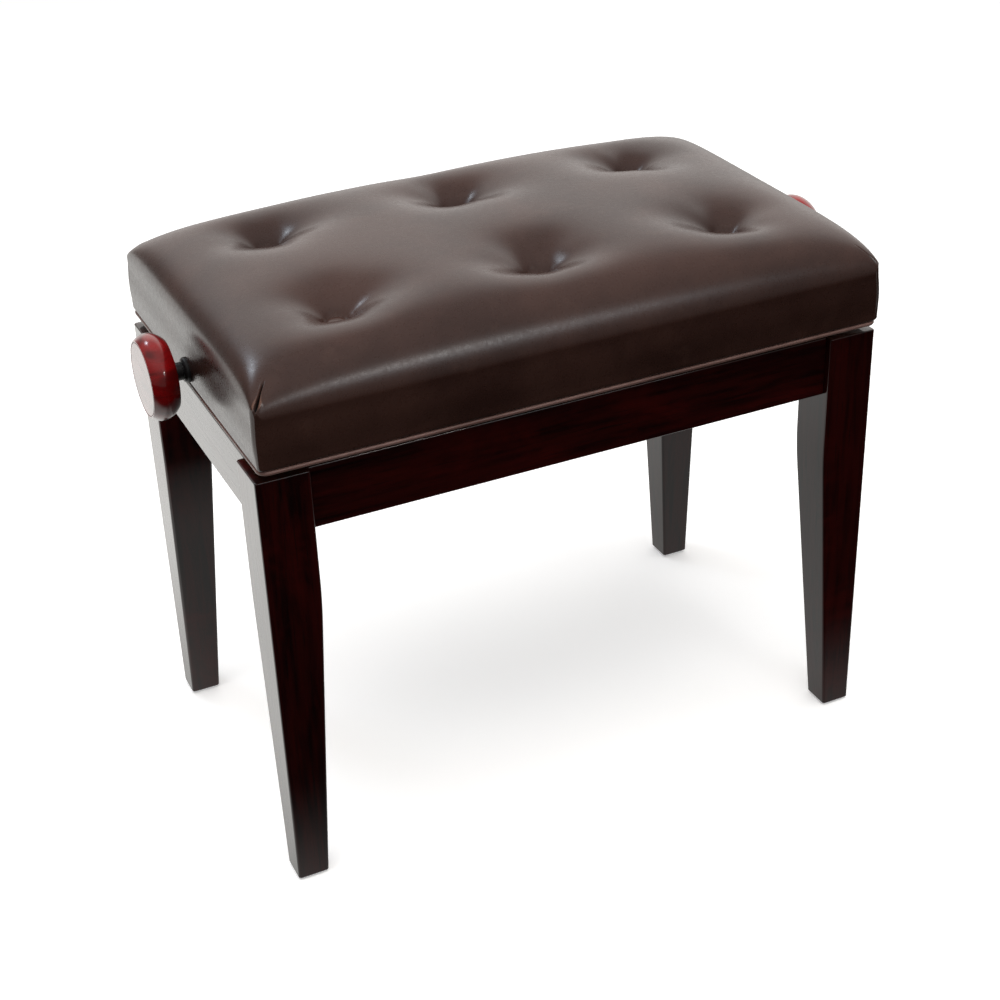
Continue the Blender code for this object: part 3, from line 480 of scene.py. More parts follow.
def apronPiece(side):
    # The visible length between the legs, without the tenons.
    low, high = boxOf("apron_" + side)
    axis = "x" if side in ("front", "back") else "y"
    main = "xyz".index(axis)
    low[main] += aprons["tenon"]
    high[main] -= aprons["tenon"]
    middle = np.linspace(low[main] + aprons["rowsFrom"], high[main] - aprons["rowsFrom"], aprons["rows"])
    made = roundedBar(low, high, axis, aprons["edge"], aprons["end"], middle)
    finish = finishes["mahoganyX" if axis == "x" else "mahoganyY"]
    addPiece("apron_" + side + "_wood", *made, finish, "frame", ["apron_" + side], "mahogany", 0)


corners = ("front_left", "front_right", "back_right", "back_left")
for corner in corners:
    legPiece(corner)
for side in ("front", "back", "left", "right"):
    apronPiece(side)
print("legs and aprons made")


# Knobs, ferrules and bushes, turned round the screw's axis

knobs = {"face": 0.0311, "back": 0.0290, "rim": 0.0355, "bore": 0.0063, "depth": 0.0125,
         "grooveDepth": 0.0008, "grooveInsets": (0.0006, 0.0010, 0.0013, 0.0017),
         "boreEdge": 0.0004, "boreEnd": 0.0003,
         "faceFlat": 0.020, "backFlat": 0.018, "backEdge": 0.0006, "rimSteps": 30, "around": 128}


turnedSharp = 0.7


def knobPiece(side):
    # The rim is a parabola raised on the straight line from the back's radius to the face's. The face
    # is flat, with a fine groove just inside its edge.
    low, high = boxOf("knob_" + side)
    sign = 1 if side == "right" else -1
    start = low[0] if sign > 0 else high[0]
    thick = high[0] - low[0]
    centreZ = (low[2] + high[2]) / 2
    share = np.linspace(0, 1, knobs["rimSteps"] + 1)
    line = knobs["back"] + (knobs["face"] - knobs["back"]) * share
    rise = knobs["rim"] - (knobs["back"] + knobs["face"]) / 2
    rim = np.stack([thick * share, line + rise * (1 - (2 * share - 1) ** 2)], -1)
    ease = (1 - np.cos(share * pi)) / 2
    rim = np.stack([np.interp(ease, share, rim[:, 0]), np.interp(ease, share, rim[:, 1])], -1)
    floor = thick - knobs["grooveDepth"]
    groove = [(along, knobs["face"] - inset)
              for along, inset in zip((thick, floor, floor, thick), knobs["grooveInsets"])]
    face = np.array([*groove, (thick, knobs["faceFlat"]), (thick, 0)])
    bore, depth, edge, end = (knobs[key] for key in ("bore", "depth", "boreEdge", "boreEnd"))
    back = np.array([(depth, 0), (depth, bore - 0.0002), (depth - end, bore), (edge, bore), (0, bore + edge),
                     (0, knobs["backFlat"]), (0, knobs["back"] - knobs["backEdge"])])
    profile = np.concatenate([back, rim, face])
    made = turned(profile, (sign * abs(start), 0, centreZ), (sign, 0, 0), knobs["around"])
    addPiece("knob_" + side + "_turned", *made, finishes["knob"], "screw", ["knob_" + side], "knob_lacquer",
             turnedSharp)


sleeves = {"ferrule": (0.0003, 0.0007), "collar": (0.0004, 0.0010), "flange": 0.0045, "sleeve": 0.008,
           "flangeChamfer": (0.0018, 0.0016),
           "bushEdges": (0.0003, 0.0003, 0.0002, 0.0005, 0.0007, 0.0006, 0.0003)}


def sleevePiece(name, body, profile, radii, finish, slot, start, sign):
    # A ring turned from a closed profile, whose corners are eased, about the screw's axis.
    looped = np.array([profile[-1], *profile, profile[0]])
    made = turned(easedProfile(looped, radii)[1:-1], (start, 0, screwZ), (sign, 0, 0))
    addPiece(name + "_turned", *made, finishes[finish], body, [name], slot, turnedSharp)


def ringPiece(name, edges, finish, slot, sign):
    # A plain ring as long and as wide as its node.
    low, high = boxOf(name)
    bore, outer, long = knobs["bore"], (high[2] - low[2]) / 2, high[0] - low[0]
    inner, far = edges
    sleevePiece(name, "screw", [(0, bore), (0, outer), (long, outer), (long, bore)], [inner, far, far, inner],
                finish, slot, sign * min(abs(low[0]), abs(high[0])), sign)


def bushPiece(name, sign):
    # A sleeve through the rail and a flange against its outer face.
    low, high = boxOf(name)
    inner, far = sorted((abs(low[0]), abs(high[0])))
    flange, bore, sleeve, inside = (high[2] - low[2]) / 2, knobs["bore"], sleeves["sleeve"], inner - far
    shoulder = -sleeves["flange"]
    back, draw = sleeves["flangeChamfer"]
    profile = [(inside, bore), (inside, sleeve), (shoulder, sleeve), (shoulder, flange), (-back, flange),
               (0, flange - draw), (0, bore)]
    sleevePiece(name, "seat", profile, sleeves["bushEdges"], "nylon", "black_fitting", sign * far, sign)


screwLow, screwHigh = boxOf("lifting_screw")
screwZ = (screwLow[2] + screwHigh[2]) / 2
for side, sign in (("left", -1), ("right", 1)):
    knobPiece(side)
    ringPiece("ferrule_" + side, sleeves["ferrule"], "nylon", "black_fitting", sign)
    bushPiece("screw_bush_" + side, sign)
    ringPiece("thrust_collar_" + side, sleeves["collar"], "zincX", "zinc_steel", sign)
print("knobs, ferrules and bushes made")


# The lifting screw, with a right-hand thread where the nut travels

screw = {"pitch": 0.003, "depth": 0.0011, "threadFrom": 0.100, "threadTo": 0.234, "perTurn": 8, "around": 28,
         "root": 0.12, "flank": 0.16, "runOut": 0.003, "chamfer": 0.0008, "plainRows": 24, "rowsFrom": 0.01,
         "endFrom": 0.03}


def screwPiece():
    # The radius is a trapezoid wave of (distance / pitch - angle / a full turn), faded in and out at
    # the thread's two ends.
    radius, chamfer = (screwHigh[2] - screwLow[2]) / 2, screw["chamfer"]
    step = screw["pitch"] / screw["perTurn"]
    thread = np.arange(screw["threadFrom"], screw["threadTo"], step)
    start, end = screwLow[0], screwHigh[0]
    plainPart = np.linspace(start + screw["rowsFrom"], thread[0] - step, screw["plainRows"])
    places = np.concatenate([[start, start + chamfer], plainPart, thread,
                             [end - screw["endFrom"], end - chamfer, end]])
    angle = np.arange(screw["around"]) / screw["around"] * 2 * pi
    phase = (places[:, None] / screw["pitch"] - angle[None] / (2 * pi)) % 1
    groove = np.clip((abs(phase - 0.5) - screw["root"]) / screw["flank"], 0, 1)
    fade = smoothStep(places, thread[0], thread[0] + screw["runOut"])
    fade *= 1 - smoothStep(places, thread[-1] - screw["runOut"], thread[-1])
    cut = screw["depth"] * (1 - groove) * fade[:, None]
    taper = np.zeros_like(places)
    taper[[0, -1]] = chamfer
    r = radius - cut - taper[:, None]
    grid = np.stack([places[:, None] + 0 * r, r * np.cos(angle), screwZ + r * np.sin(angle)], -1)
    addPiece("lifting_screw_threaded", *tubeFrom(grid), finishes["zincX"], "screw", ["lifting_screw"],
             "zinc_steel", 0.5)


screwPiece()
print("screw made")


# Cushion

coverLow, coverHigh = boxOf("seat_cover")
buttonNames = [f"{row}_{column}" for row in ("front", "back") for column in ("left", "middle", "right")]
buttonSpots = np.array([[(a + b) / 2 for a, b in zip(*boxOf("button_" + name))][:2] for name in buttonNames])
buttonBase = boxOf("button_front_left")[0][2]

cushion = {"wallTop": 0.4364, "crown": 0.0537, "flattening": 0.08, "endFullness": 3.0, "endRounding": 0.28,
           "sideFullness": 6.0, "sideRounding": 0.7, "corner": 0.0085, "lowerCorner": 0.0045, "step": 0.0028,
           "margin": 0.032, "marginLines": 70, "wallRows": 16, "hemRows": 6, "bulge": 0.0010, "hem": 0.0026,
           "fill": 0.85}
dimple = {"flat": 0.0105, "width": 0.020, "power": 0.95, "fade": (0.030, 0.085), "lip": 0.0058,
          "narrowing": 0.85, "waver": (0.09, 0.06), "turn": 1.9,
          "wellDepth": 0.0046, "wellWidth": 0.0014, "wellFlat": 0.0088}


def fall(share, fullness, rounding):
    # (1 - |share|^fullness)^rounding, which is 1 over the middle and nothing at the edge.
    return np.maximum(1 - np.minimum(abs(share), 1) ** fullness, tiny) ** rounding


def crownHeight(x, y):
    # c = 1 / (1 / along + 1 / across - 1), and the height is the wall's top plus the crown times
    # (c - flattening c^4), which keeps the middle from doming.
    along = fall(x / coverHigh[0], cushion["endFullness"], cushion["endRounding"])
    across = fall(y / coverHigh[1], cushion["sideFullness"], cushion["sideRounding"])
    both = 1 / (1 / along + 1 / across - 1)
    return cushion["wallTop"] + cushion["crown"] * (both - cushion["flattening"] * both ** 4)


def tufted(x, y, height):
    # Draws the surface down to each button. The funnel's weight is e to the -(t^power), faded out at its
    # mouth, where t is the distance from its foot over its width, which wavers round the button. The
    # weights join as 1 - (1 - a)(1 - b). A narrow well at the foot takes the button itself.
    offX, offY = x[..., None] - buttonSpots[:, 0], y[..., None] - buttonSpots[:, 1]
    away, angle = np.hypot(offX * dimple["narrowing"], offY), np.arctan2(offY, offX)
    turn = np.arange(len(buttonSpots)) * dimple["turn"]
    threes, fives = dimple["waver"]
    width = dimple["width"] * (1 + threes * np.cos(3 * angle + turn) + fives * np.cos(5 * angle - 2 * turn))
    t = np.maximum(away - dimple["flat"], 0) / width
    weight = np.exp(-t ** dimple["power"]) * (1 - smoothStep(away, *dimple["fade"]))
    weight = 1 - np.prod(1 - weight, axis=-1)
    near = np.hypot(offX, offY).min(-1)
    well = np.exp(-(np.maximum(near - dimple["wellFlat"], 0) / dimple["wellWidth"]) ** 2)
    foot = buttonBase + dimple["lip"]
    return height * (1 - weight) + foot * weight - dimple["wellDepth"] * well, near


def closerLines(half, step, margin, count):
    # Even grid lines over the middle, and near both ends lines whose distance from the end grows as a
    # square.
    edge = half - margin * (np.arange(count, -1, -1) / count) ** 2
    middle = np.linspace(-(half - margin), half - margin, int(round(2 * (half - margin) / step)) + 1)
    return np.concatenate([-edge[::-1], middle[1:-1], edge])


def cornered(x, y):
    # Draws the square of grid at each corner in to a quarter disc, and gives the way out of it.
    corner = cushion["corner"]
    pastX = np.maximum(abs(x) - (coverHigh[0] - corner), 0)
    pastY = np.maximum(abs(y) - (coverHigh[1] - corner), 0)
    length = np.maximum(np.hypot(pastX, pastY), tiny)
    drawnIn = 1 - np.maximum(pastX, pastY) / length
    outX, outY = np.sign(x) * pastX / length, np.sign(y) * pastY / length
    return x - np.sign(x) * pastX * drawnIn, y - np.sign(y) * pastY * drawnIn, outX, outY


def rimIndex(rows, columns):
    # The grid's outside points in order, once round.
    index = np.arange(rows * columns).reshape(rows, columns)
    return np.concatenate([index[:-1, 0], index[-1, :-1], index[:0:-1, -1], index[0, :0:-1]])


def topAndSides(rows, columns, rim, levels):
    # Quads of the top's grid and of the rings of points that hang from its rim, and the last ring.
    rings = rows * columns + np.arange(len(rim) * levels).reshape(levels, -1)
    looped = np.concatenate([rim[None], rings])
    looped = np.concatenate([looped, looped[:, :1]], 1)
    return np.concatenate([gridFaces(rows, columns, roundColumns=False), quadsBetween(looped)]), rings[-1]


swelling = {"step": 0.0055, "start": 0.006, "wallRows": 6, "heldWall": 0.018, "heldTuft": 0.0085,
            "pressure": 4.0, "mass": 0.3, "tension": 40, "shear": 20, "bending": 2.0, "quality": 6,
            "frames": 20, "smoothing": 12, "share": 0.5, "most": 0.0015, "fade": (0.004, 0.030),
            "wildest": 0.02, "rim": 4}


def simulatedSwell():
    # Blows a coarse copy of the cushion up as cloth, held at its lower edge and its six buttons, and
    # returns how far its top rises over a grid of places, smoothed and about its own mean.
    step = swelling["step"]
    xLines, yLines = (np.linspace(-half, half, int(2 * half / step) + 1) for half in coverHigh[:2])
    x, y, outX, outY = cornered(*np.meshgrid(xLines, yLines, indexing="ij"))
    start, away = tufted(x, y, np.maximum(crownHeight(x, y) - swelling["start"], cushion["wallTop"]))
    rows, columns = x.shape
    rim = rimIndex(rows, columns)
    flat = np.stack([x, y, start], -1).reshape(-1, 3)
    levels = np.linspace(0, 1, swelling["wallRows"] + 1)[1:]
    wall = flat[rim][None].repeat(len(levels), 0)
    wall[..., 2] = flat[rim][:, 2] * (1 - levels[:, None]) + coverLow[2] * levels[:, None]
    points = np.concatenate([flat, wall.reshape(-1, 3)])
    quads, ring = topAndSides(rows, columns, rim, len(levels))
    faces = quads.tolist() + [ring.tolist()]
    mesh = bpy.data.meshes.new("swelling")
    mesh.from_pydata(points.tolist(), [], faces)
    mesh.update()
    work = bpy.data.objects.new("swelling", mesh)
    bpy.context.scene.collection.objects.link(work)
    shape = bmesh.new()
    shape.from_mesh(mesh)
    bmesh.ops.recalc_face_normals(shape, faces=shape.faces)
    shape.to_mesh(mesh)
    shape.free()
    held = work.vertex_groups.new(name="held")
    lower = np.nonzero(points[:, 2] < coverLow[2] + swelling["heldWall"])[0]
    tufts = np.nonzero(away.reshape(-1) < swelling["heldTuft"])[0]
    held.add([int(i) for i in np.concatenate([lower, tufts])], 1.0, "REPLACE")
    cloth = work.modifiers.new("cloth", "CLOTH")
    settings = cloth.settings
    settings.use_pressure, settings.uniform_pressure_force = True, swelling["pressure"]
    settings.effector_weights.gravity = 0.0
    settings.vertex_group_mass = "held"
    settings.quality, settings.mass = swelling["quality"], swelling["mass"]
    settings.tension_stiffness = settings.compression_stiffness = swelling["tension"]
    settings.shear_stiffness, settings.bending_stiffness = swelling["shear"], swelling["bending"]
    cloth.collision_settings.use_collision = False
    cloth.point_cache.frame_start, cloth.point_cache.frame_end = 1, swelling["frames"]
    for frameNumber in range(1, swelling["frames"] + 1):
        bpy.context.scene.frame_set(frameNumber)
    graph = bpy.context.evaluated_depsgraph_get()
    swollen = work.evaluated_get(graph).to_mesh()
    after = np.zeros(len(points) * 3)
    swollen.vertices.foreach_get("co", after)
    bpy.data.objects.remove(work, do_unlink=True)
    bpy.context.scene.frame_set(1)
    rise = (after.reshape(-1, 3) - points)[:len(flat), 2].reshape(rows, columns)
    rise = np.clip(rise, -swelling["wildest"], swelling["wildest"])
    for _ in range(swelling["smoothing"]):
        rise = np.pad(rise, 1, mode="edge")
        rise = (rise[:-2] + 2 * rise[1:-1] + rise[2:]) / 4
        rise = (rise[:, :-2] + 2 * rise[:, 1:-1] + rise[:, 2:]) / 4
    edge = swelling["rim"]
    rise = rise - rise[edge:-edge, edge:-edge].mean()
    print("swell of the cushion in mm:", (rise.max() * 1000).round(2), (rise.min() * 1000).round(2))
    return xLines, yLines, np.clip(rise * swelling["share"], -swelling["most"], swelling["most"])


def cubicWeights(lines, places):
    # How much each evenly spaced line counts at each place, by the smooth cubic through four lines.
    position = np.clip((places - lines[0]) / (lines[1] - lines[0]), 0, len(lines) - 1.000001)
    first = np.floor(position).astype(int)
    t = position - first
    parts = (-0.5 * t + t ** 2 - 0.5 * t ** 3, 1 - 2.5 * t ** 2 + 1.5 * t ** 3,
             0.5 * t + 2 * t ** 2 - 1.5 * t ** 3, -0.5 * t ** 2 + 0.5 * t ** 3)
    weights = np.zeros((len(places), len(lines)))
    for shift, part in zip((-1, 0, 1, 2), parts):
        np.add.at(weights, (np.arange(len(places)), np.clip(first + shift, 0, len(lines) - 1)), part)
    return weights


def cushionPiece():
    xLines, yLines = (closerLines(half, cushion["step"], cushion["margin"], cushion["marginLines"])
                      for half in coverHigh[:2])
    x, y, outX, outY = cornered(*np.meshgrid(xLines, yLines, indexing="ij"))
    height = crownHeight(x, y)
    swellX, swellY, rise = simulatedSwell()
    swell = cubicWeights(swellX, xLines) @ rise @ cubicWeights(swellY, yLines).T
    inside = smoothStep(np.minimum(coverHigh[0] - abs(x), coverHigh[1] - abs(y)), *swelling["fade"])
    height = height + swell * inside
    height = tufted(x, y, height)[0]
    rows, columns = x.shape
    flat = np.stack([x, y, height], -1).reshape(-1, 3)
    rim = rimIndex(rows, columns)
    facing = np.stack([outX.reshape(-1)[rim], outY.reshape(-1)[rim]], -1)
    skirt = cushionSkirt(flat[rim], facing)
    boardTop = skirt[-1, 0, 2]
    points = np.concatenate([flat, skirt.reshape(-1, 3), [[0, 0, boardTop]]])
    quads, ring = topAndSides(rows, columns, rim, len(skirt))
    caps = fan(ring[::-1], len(points) - 1)
    points, fold = cornerSlits(points, len(flat) + len(rim) * cushion["wallRows"])
    piece = addPiece("seat_cushion", points, quads, caps, finishes["leather"], "seat",
                     ["seat_cover", "seat_foam"], "leather", 0)
    piece.data.attributes.new("fold", "FLOAT", "POINT").data.foreach_set("value", fold.astype(np.float32))


def cushionSkirt(rimTop, facing):
    # Rings of points from the top's rim down the wall, which bellies out as a squared sine and whose
    # corners grow tighter, round a quarter turn at the hem, and up the inside against the seat box.
    inCorner = (abs(facing) > 1e-6).all(-1)[:, None]
    share = np.linspace(0, 1, cushion["wallRows"] + 1)[1:, None]
    hem = cushion["hem"]
    z = rimTop[:, 2] * (1 - share) + (coverLow[2] + hem) * share
    tighter = (cushion["lowerCorner"] - cushion["corner"]) * smoothStep(share, 0, 1)
    radius = (cushion["corner"] + tighter)[..., None]
    belly = (cushion["bulge"] * np.sin(pi * share) ** 2)[..., None]
    bent = np.sign(rimTop[:, :2]) * (coverHigh[:2] - radius) + radius * facing
    wall = np.concatenate([np.where(inCorner, bent, rimTop[:, :2]) + facing * belly, z[..., None]], -1)
    last = wall[-1]
    under = np.linspace(0, pi / 2, cushion["hemRows"] + 1)[1:, None, None]
    inwards = last[:, :2] - facing * hem * (1 - np.cos(under))
    turnIn = np.concatenate([inwards, last[:, 2:] - hem * np.sin(under)], -1)
    board = boxOf("seat_board")[1] + clearance
    box = np.clip(last[:, :2], -board[:2], board[:2])
    levels = (coverLow[2], board[2])
    inside = np.stack([np.column_stack([box, np.full(len(box), height)]) for height in levels])
    return np.concatenate([wall, turnIn, inside])


pleat = {"length": 0.0185, "fadeLength": 0.006, "depth": 0.0026, "width": 0.00045, "right": 0.3,
         "lip": 0.0005, "from": (0.4415, 0.4470), "mouth": (0.4475, 0.0035), "mouthWider": 0.9,
         "waver": (0.0004, 260),
         "lipAway": 2.6, "lipWide": 1.2, "out": (0.45, 0.77), "edgeNear": 0.006, "edgeFade": (0.440, 0.447),
         "crease": (0.0018, 0.0009, 0.0003), "ridge": (0.0014, 0.0004), "ridgeOut": 0.7, "paleAbove": 0.35}


def bell(x, width):
    return np.exp(-(x / width) ** 2)


def cornerSlits(points, outside):
    # A pleat at each corner: a narrow groove along the diagonal from a little way in on the top down
    # to the corner's shoulder, between two soft lips, and a shallow fold on down the corner's edge.
    # Also gives how much each point belongs to the groove (below 0), which the leather paints near black
    # as a painted shade, or to its lips (above 0), which it paints paler, partly rubbed wear and partly a
    # painted highlight.
    outer = points[:outside].copy()
    height = outer[:, 2]
    sign = np.sign(outer[:, :2])
    past = sign * outer[:, :2] - coverHigh[:2]
    inward = -past.sum(-1) / 2
    reach, beat = pleat["waver"]
    side = (past[:, 0] - past[:, 1]) / np.sqrt(2) + reach * np.sin(inward * beat)
    amount = 1 - smoothStep(inward, pleat["length"] - pleat["fadeLength"], pleat["length"])
    amount = amount * smoothStep(height, *pleat["from"]) * np.where(sign[:, 0] < 0, 1, pleat["right"])
    mouth = bell(height - pleat["mouth"][0], pleat["mouth"][1])
    wide = pleat["width"] * (1 + pleat["mouthWider"] * mouth)
    groove = bell(side, wide)
    lips = bell(abs(side) - pleat["lipAway"] * wide, pleat["lipWide"] * wide)
    flatOut, upOut = pleat["out"]
    outward = np.column_stack([sign * flatOut, np.full(outside, upOut)])
    moved = outer + outward * ((lips * pleat["lip"] - groove * pleat["depth"]) * amount)[:, None]
    near = (inward < pleat["edgeNear"]) * (1 - smoothStep(height, *pleat["edgeFade"]))
    shift, creaseWide, creaseDeep = pleat["crease"]
    ridgeWide, ridgeHigh = pleat["ridge"]
    folded = bell(side, ridgeWide) * ridgeHigh - bell(side + shift, creaseWide) * creaseDeep
    moved[:, :2] += sign * pleat["ridgeOut"] * (folded * near)[:, None]
    # The lips' paleness, partly rubbed wear and partly a painted highlight, is full at the mouth and a share
    # of that up the rest of the pleat.
    fold = np.zeros(len(points))
    pale = pleat["paleAbove"]
    fold[:outside] = (lips * (pale + (1 - pale) * mouth) * (1 - groove) - groove) * amount
    return np.concatenate([moved, points[outside:]]), fold


cushionPiece()
print("cushion made")


# Piping round the cover's lower edge, and the buttons

piping = {"radius": 0.0019, "proud": 0.0012, "corner": 0.0070, "around": 14, "cornerSteps": 24,
          "sideSteps": 90, "waver": (0.03, 210, 37)}


def pipingPiece():
    # A circle carried round a rectangle with rounded corners, its thickness wavering a little as
    # stuffed piping does.
    low, high = boxOf("seat_piping")
    radius, corner = piping["radius"], piping["corner"]
    middle = high[:2] - radius + piping["proud"] - corner
    signs = np.array([(1, 1), (-1, 1), (-1, -1), (1, -1)])
    between = np.linspace(0, 1, piping["sideSteps"])[1:-1, None]
    path, facing = [], []
    for quarter in range(4):
        angle = np.linspace(0, pi / 2, piping["cornerSteps"]) + quarter * pi / 2
        out = np.stack([np.cos(angle), np.sin(angle)], -1)
        here, after = (signs[i % 4] * middle for i in (quarter, quarter + 1))
        path += [here + corner * out, corner * out[-1] + here * (1 - between) + after * between]
        facing += [out, np.repeat(out[-1:], len(between), 0)]
    path, facing = np.concatenate(path), np.concatenate(facing)
    turn = np.arange(piping["around"]) / piping["around"] * 2 * pi
    along = np.cumsum(np.linalg.norm(np.diff(path, axis=0, prepend=path[:1]), axis=1))
    amount, quick, slow = piping["waver"]
    thick = radius * (1 + amount * np.sin(along * quick) * np.sin(along * slow))[:, None]
    grid = np.concatenate([path[:, None] + facing[:, None] * (thick * np.cos(turn))[..., None],
                           ((low[2] + high[2]) / 2 + thick * np.sin(turn))[..., None]], -1)
    quads = gridFaces(len(path), len(turn), roundRows=True)
    addPiece("seat_piping_cord", grid.reshape(-1, 3), quads, [], finishes["piping"], "seat", ["seat_piping"],
             "piping_leather", 0)


pipingPiece()

buttons = {"spread": 0.0014, "lift": 0.0020, "pleats": 14, "pleatDepth": 0.020, "pleatFade": 6, "around": 84,
           "steps": 14, "domeBase": 0.34, "fullness": 0.85,
           "lip": ((0, 0), (0, 0.78), (0.10, 0.93), (0.22, 1))}


def buttonPiece(name):
    # A covered button: a dome over a rounded lip that turns in underneath, with small pleats that
    # fade towards the crown. The lip's points are shares of the height and of the radius.
    low, high = boxOf("button_" + name)
    radius, tall = (high[0] - low[0]) / 2 + buttons["spread"], high[2] - low[2]
    turn = np.linspace(1, 0, buttons["steps"]) * pi / 2
    base = buttons["domeBase"]
    dome = np.stack([tall * (base + (1 - base) * np.cos(turn)),
                     radius * np.sin(turn) ** buttons["fullness"]], -1)
    profile = np.concatenate([np.array(buttons["lip"]) * (tall, radius), dome[:-1], [(tall, 0)]])

    def pleated(line, angle):
        deep = buttons["pleatDepth"] * (line[:, 1:2] / radius) ** buttons["pleatFade"]
        return -deep * (0.5 + 0.5 * np.cos(buttons["pleats"] * angle[None]))

    middle = (low + high)[:2] / 2
    made = turned(profile, (*middle, low[2] + buttons["lift"]), (0, 0, 1), buttons["around"], pleated)
    addPiece("button_" + name + "_covered", *made, finishes["button"], "seat", ["button_" + name],
             "button_leather", 0)


for name in buttonNames:
    buttonPiece(name)
print("piping and buttons made")


# Finishes for the frame's own nodes

nodeFinish = {"foot_pad": "felt", "corner_block": "block", "corner_bolt": "zinc", "lower_rail": "steel",
              "lower_end_bar": "steel", "lower_pivot_shaft": "zinc", "seat_rail": "plywood",
              "seat_board": "plywood",
              "upper_rail": "steel", "upper_pivot_pin": "zinc", "lower_arm": "steel", "centre_pin": "zinc",
              "screw_nut": "brass", "upper_arm": "steel", "slide_bar": "zinc"}
for name, node in nodes.items():
    for start, finish in nodeFinish.items():
        if name.startswith(start):
            node.data.materials.clear()
            node.data.materials.append(finishes[finish])


# Studio: floor, light and camera

studio = {"floor": 6.0, "floorTone": 0.92, "floorGlow": 0.32, "floorHeight": -0.0004, "cardHeight": -0.0008,
          "lens": 66.21, "camera": (-0.59758, -1.3101, 1.04676), "azimuth": -0.4257, "elevation": 0.5263,
          "roll": -0.0374}


def plainPlane(name, height, material):
    half = studio["floor"]
    mesh = bpy.data.meshes.new(name)
    mesh.from_pydata([(x * half, y * half, height) for x, y in ((-1, -1), (1, -1), (1, 1), (-1, 1))], [],
                     [(0, 1, 2, 3)])
    mesh.materials.append(material)
    plane = bpy.data.objects.new(name, mesh)
    bpy.context.scene.collection.objects.link(plane)
    return plane


def makeFloor():
    # A pale floor that can't be seen from below or in reflections.
    tone = studio["floorTone"]
    material, tree, shader = newMaterial("floor", (tone, tone, tone), 0.9, Specular_IOR_Level=0.0,
                                         Emission_Color=(1, 1, 1, 1), Emission_Strength=studio["floorGlow"])
    facing = addNode(tree, "ShaderNodeNewGeometry").outputs["Backfacing"]
    clear = addNode(tree, "ShaderNodeBsdfTransparent").outputs[0]
    mix = addNode(tree, "ShaderNodeMixShader", {0: facing, 1: shader.outputs[0], 2: clear})
    output = next(n for n in tree.nodes if n.type == "OUTPUT_MATERIAL")
    tree.links.new(mix.outputs[0], output.inputs["Surface"])
    floor = plainPlane("floor", studio["floorHeight"], material)
    floor.visible_glossy = floor.visible_diffuse = False


def easeNode(tree, value, fromLow, fromHigh, toLow=0.0, toHigh=1.0):
    return rangeNode(tree, value, fromLow, fromHigh, toLow, toHigh, "SMOOTHSTEP")


def axesNode(tree, coordinate):
    place = addNode(tree, "ShaderNodeTexCoord").outputs[coordinate]
    return addNode(tree, "ShaderNodeSeparateXYZ", {0: place}).outputs


def makeReflectedFloor():
    # A glowing card that only glossy faces see, a painted reflection of the floor below the horizon: a
    # bright sweep to the left and behind, a painted shadow of the bench under it, dark towards the front.
    material = bpy.data.materials.new("painted_floor_reflection")
    material.use_nodes = True
    tree = material.node_tree
    tree.nodes.clear()
    axes = axesNode(tree, "Object")
    behind = easeNode(tree, axes["Y"], -0.30, -0.10)
    left = easeNode(tree, axes["X"], -0.22, -0.36, 0.0, 0.60)
    far = easeNode(tree, axes["Y"], 0.15, 0.45, 0.0, 0.20)
    # Under the bench only the base glow of 0.46 is left: the bench's painted shadow.
    total = mathNode(tree, "ADD", mathNode(tree, "ADD", left, far), 0.46)
    strength = mathNode(tree, "MULTIPLY", behind, total)
    glow = addNode(tree, "ShaderNodeEmission", {"Color": (1.0, 0.99, 0.96, 1), "Strength": strength})
    addNode(tree, "ShaderNodeOutputMaterial", {"Surface": glow.outputs[0]})
    card = plainPlane("painted_floor_reflection", studio["cardHeight"], material)
    card.visible_camera = card.visible_diffuse = card.visible_shadow = card.visible_transmission = False


def makeWorld():
    # A soft studio: bright and a little warm low down behind and to the right, rising to a soft light
    # overhead, dimmest towards the front; the camera itself sees a plain pale backdrop.
    world = bpy.data.worlds.new("studio")
    bpy.context.scene.world = world
    world.use_nodes = True
    tree = world.node_tree
    tree.nodes.clear()
    axes = axesNode(tree, "Generated")
    behind = easeNode(tree, axes["Y"], -0.10, 0.45)
    low = easeNode(tree, axes["Z"], 0.55, 0.90, 0.85, 0.0)
    overhead = easeNode(tree, axes["Z"], 0.30, 0.80, 0.22, 0.55)
    right = easeNode(tree, axes["X"], -0.38, 0.02)
    sweep = mathNode(tree, "MULTIPLY", mathNode(tree, "MULTIPLY", behind, low), right)
    strength = mathNode(tree, "ADD", sweep, overhead)
    light = addNode(tree, "ShaderNodeBackground", {"Color": (1.0, 0.965, 0.935, 1), "Strength": strength})
    backdrop = addNode(tree, "ShaderNodeBackground", {"Color": (0.95, 0.95, 0.95, 1), "Strength": 1.0})
    seen = addNode(tree, "ShaderNodeLightPath").outputs["Is Camera Ray"]
    mix = addNode(tree, "ShaderNodeMixShader", {0: seen, 1: light.outputs[0], 2: backdrop.outputs[0]})
    addNode(tree, "ShaderNodeOutputWorld", {"Surface": mix.outputs[0]})


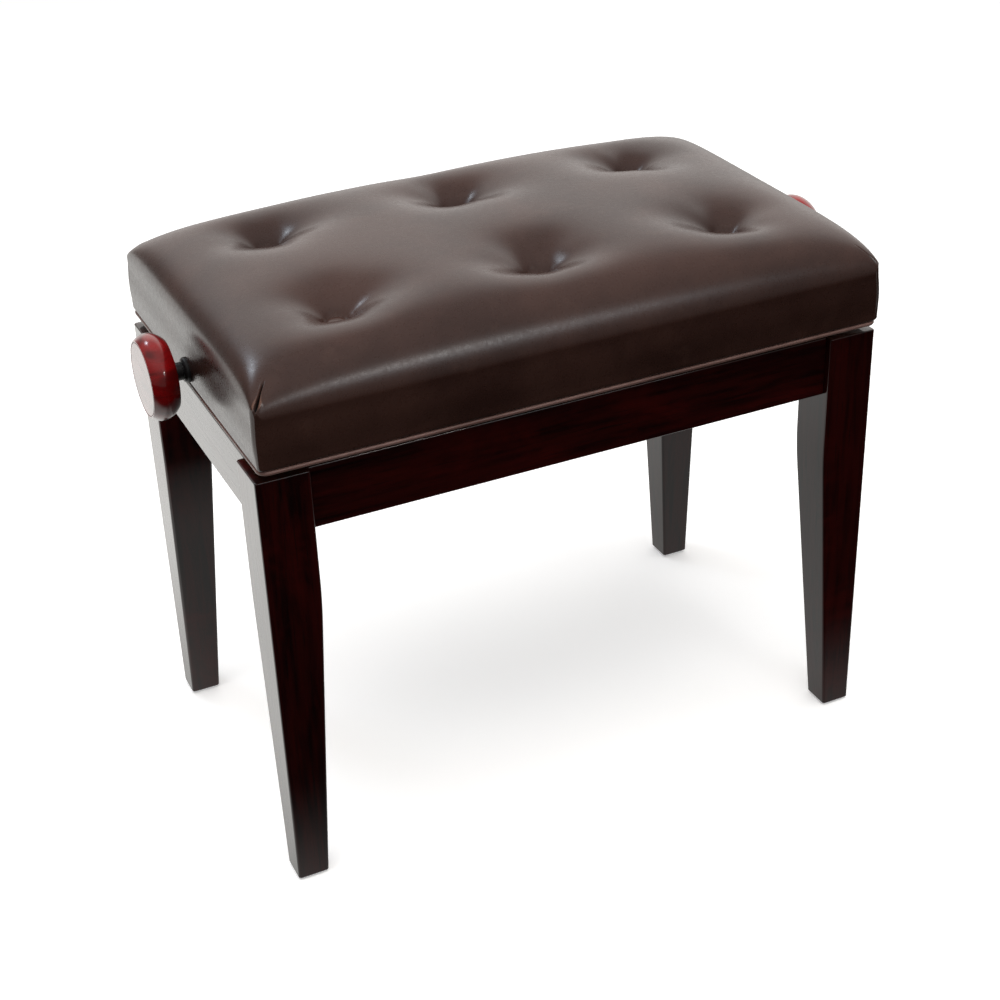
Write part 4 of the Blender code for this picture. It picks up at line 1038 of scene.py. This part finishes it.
def areaLight(name, place, target, size, power, colour, glossy=True):
    data = bpy.data.lights.new(name, "AREA")
    data.shape = "RECTANGLE"
    data.size, data.size_y = size
    data.energy = power
    data.color = colour
    lamp = bpy.data.objects.new(name, data)
    bpy.context.scene.collection.objects.link(lamp)
    lamp.location = place
    lamp.rotation_euler = (Vector(target) - Vector(place)).to_track_quat("-Z", "Y").to_euler()
    lamp.visible_glossy = glossy
    lamp.visible_camera = False


def makeCamera():
    # Turned about Z, raised and rolled by the three angles.
    az, el, roll = studio["azimuth"], studio["elevation"], studio["roll"]
    back = np.array([np.sin(az) * np.cos(el), -np.cos(az) * np.cos(el), np.sin(el)])
    right = np.array([np.cos(az), np.sin(az), 0.0])
    up = np.cross(back, right)
    acrossAxis = np.cos(roll) * right + np.sin(roll) * up
    upAxis = -np.sin(roll) * right + np.cos(roll) * up
    data = bpy.data.cameras.new("camera")
    data.lens, data.sensor_width = studio["lens"], 36.0
    camera = bpy.data.objects.new("camera", data)
    bpy.context.scene.collection.objects.link(camera)
    matrix = np.eye(4)
    matrix[:3, 0], matrix[:3, 1], matrix[:3, 2], matrix[:3, 3] = acrossAxis, upAxis, back, studio["camera"]
    camera.matrix_world = Matrix(matrix.tolist())
    bpy.context.scene.camera = camera


makeFloor()
makeReflectedFloor()
makeWorld()
makeCamera()
areaLight("overhead_softbox", (-0.3, -0.3, 2.4), (0, 0, 0), (2.4, 2.4), 60, (1.0, 0.99, 0.98), False)
seatFront, seatMiddle = (0, -0.1, 0.45), (0, 0, 0.45)
areaLight("front_window", (0.95, -2.62, 1.86), seatFront, (1.15, 0.42), 6.0, (0.88, 0.95, 1.0))
areaLight("front_lamp", (0.80, -2.50, 1.95), seatFront, (0.30, 0.14), 3.6, (1.0, 0.95, 0.90))
areaLight("back_window", (-0.95, 1.50, 2.20), seatMiddle, (0.5, 0.5), 5.5, (0.72, 0.86, 1.0))
areaLight("back_lamp", (-0.90, 1.45, 2.15), seatMiddle, (0.12, 0.12), 1.0, (0.95, 0.97, 1.0))
bpy.context.scene.view_settings.view_transform = "Standard"
print("studio made")
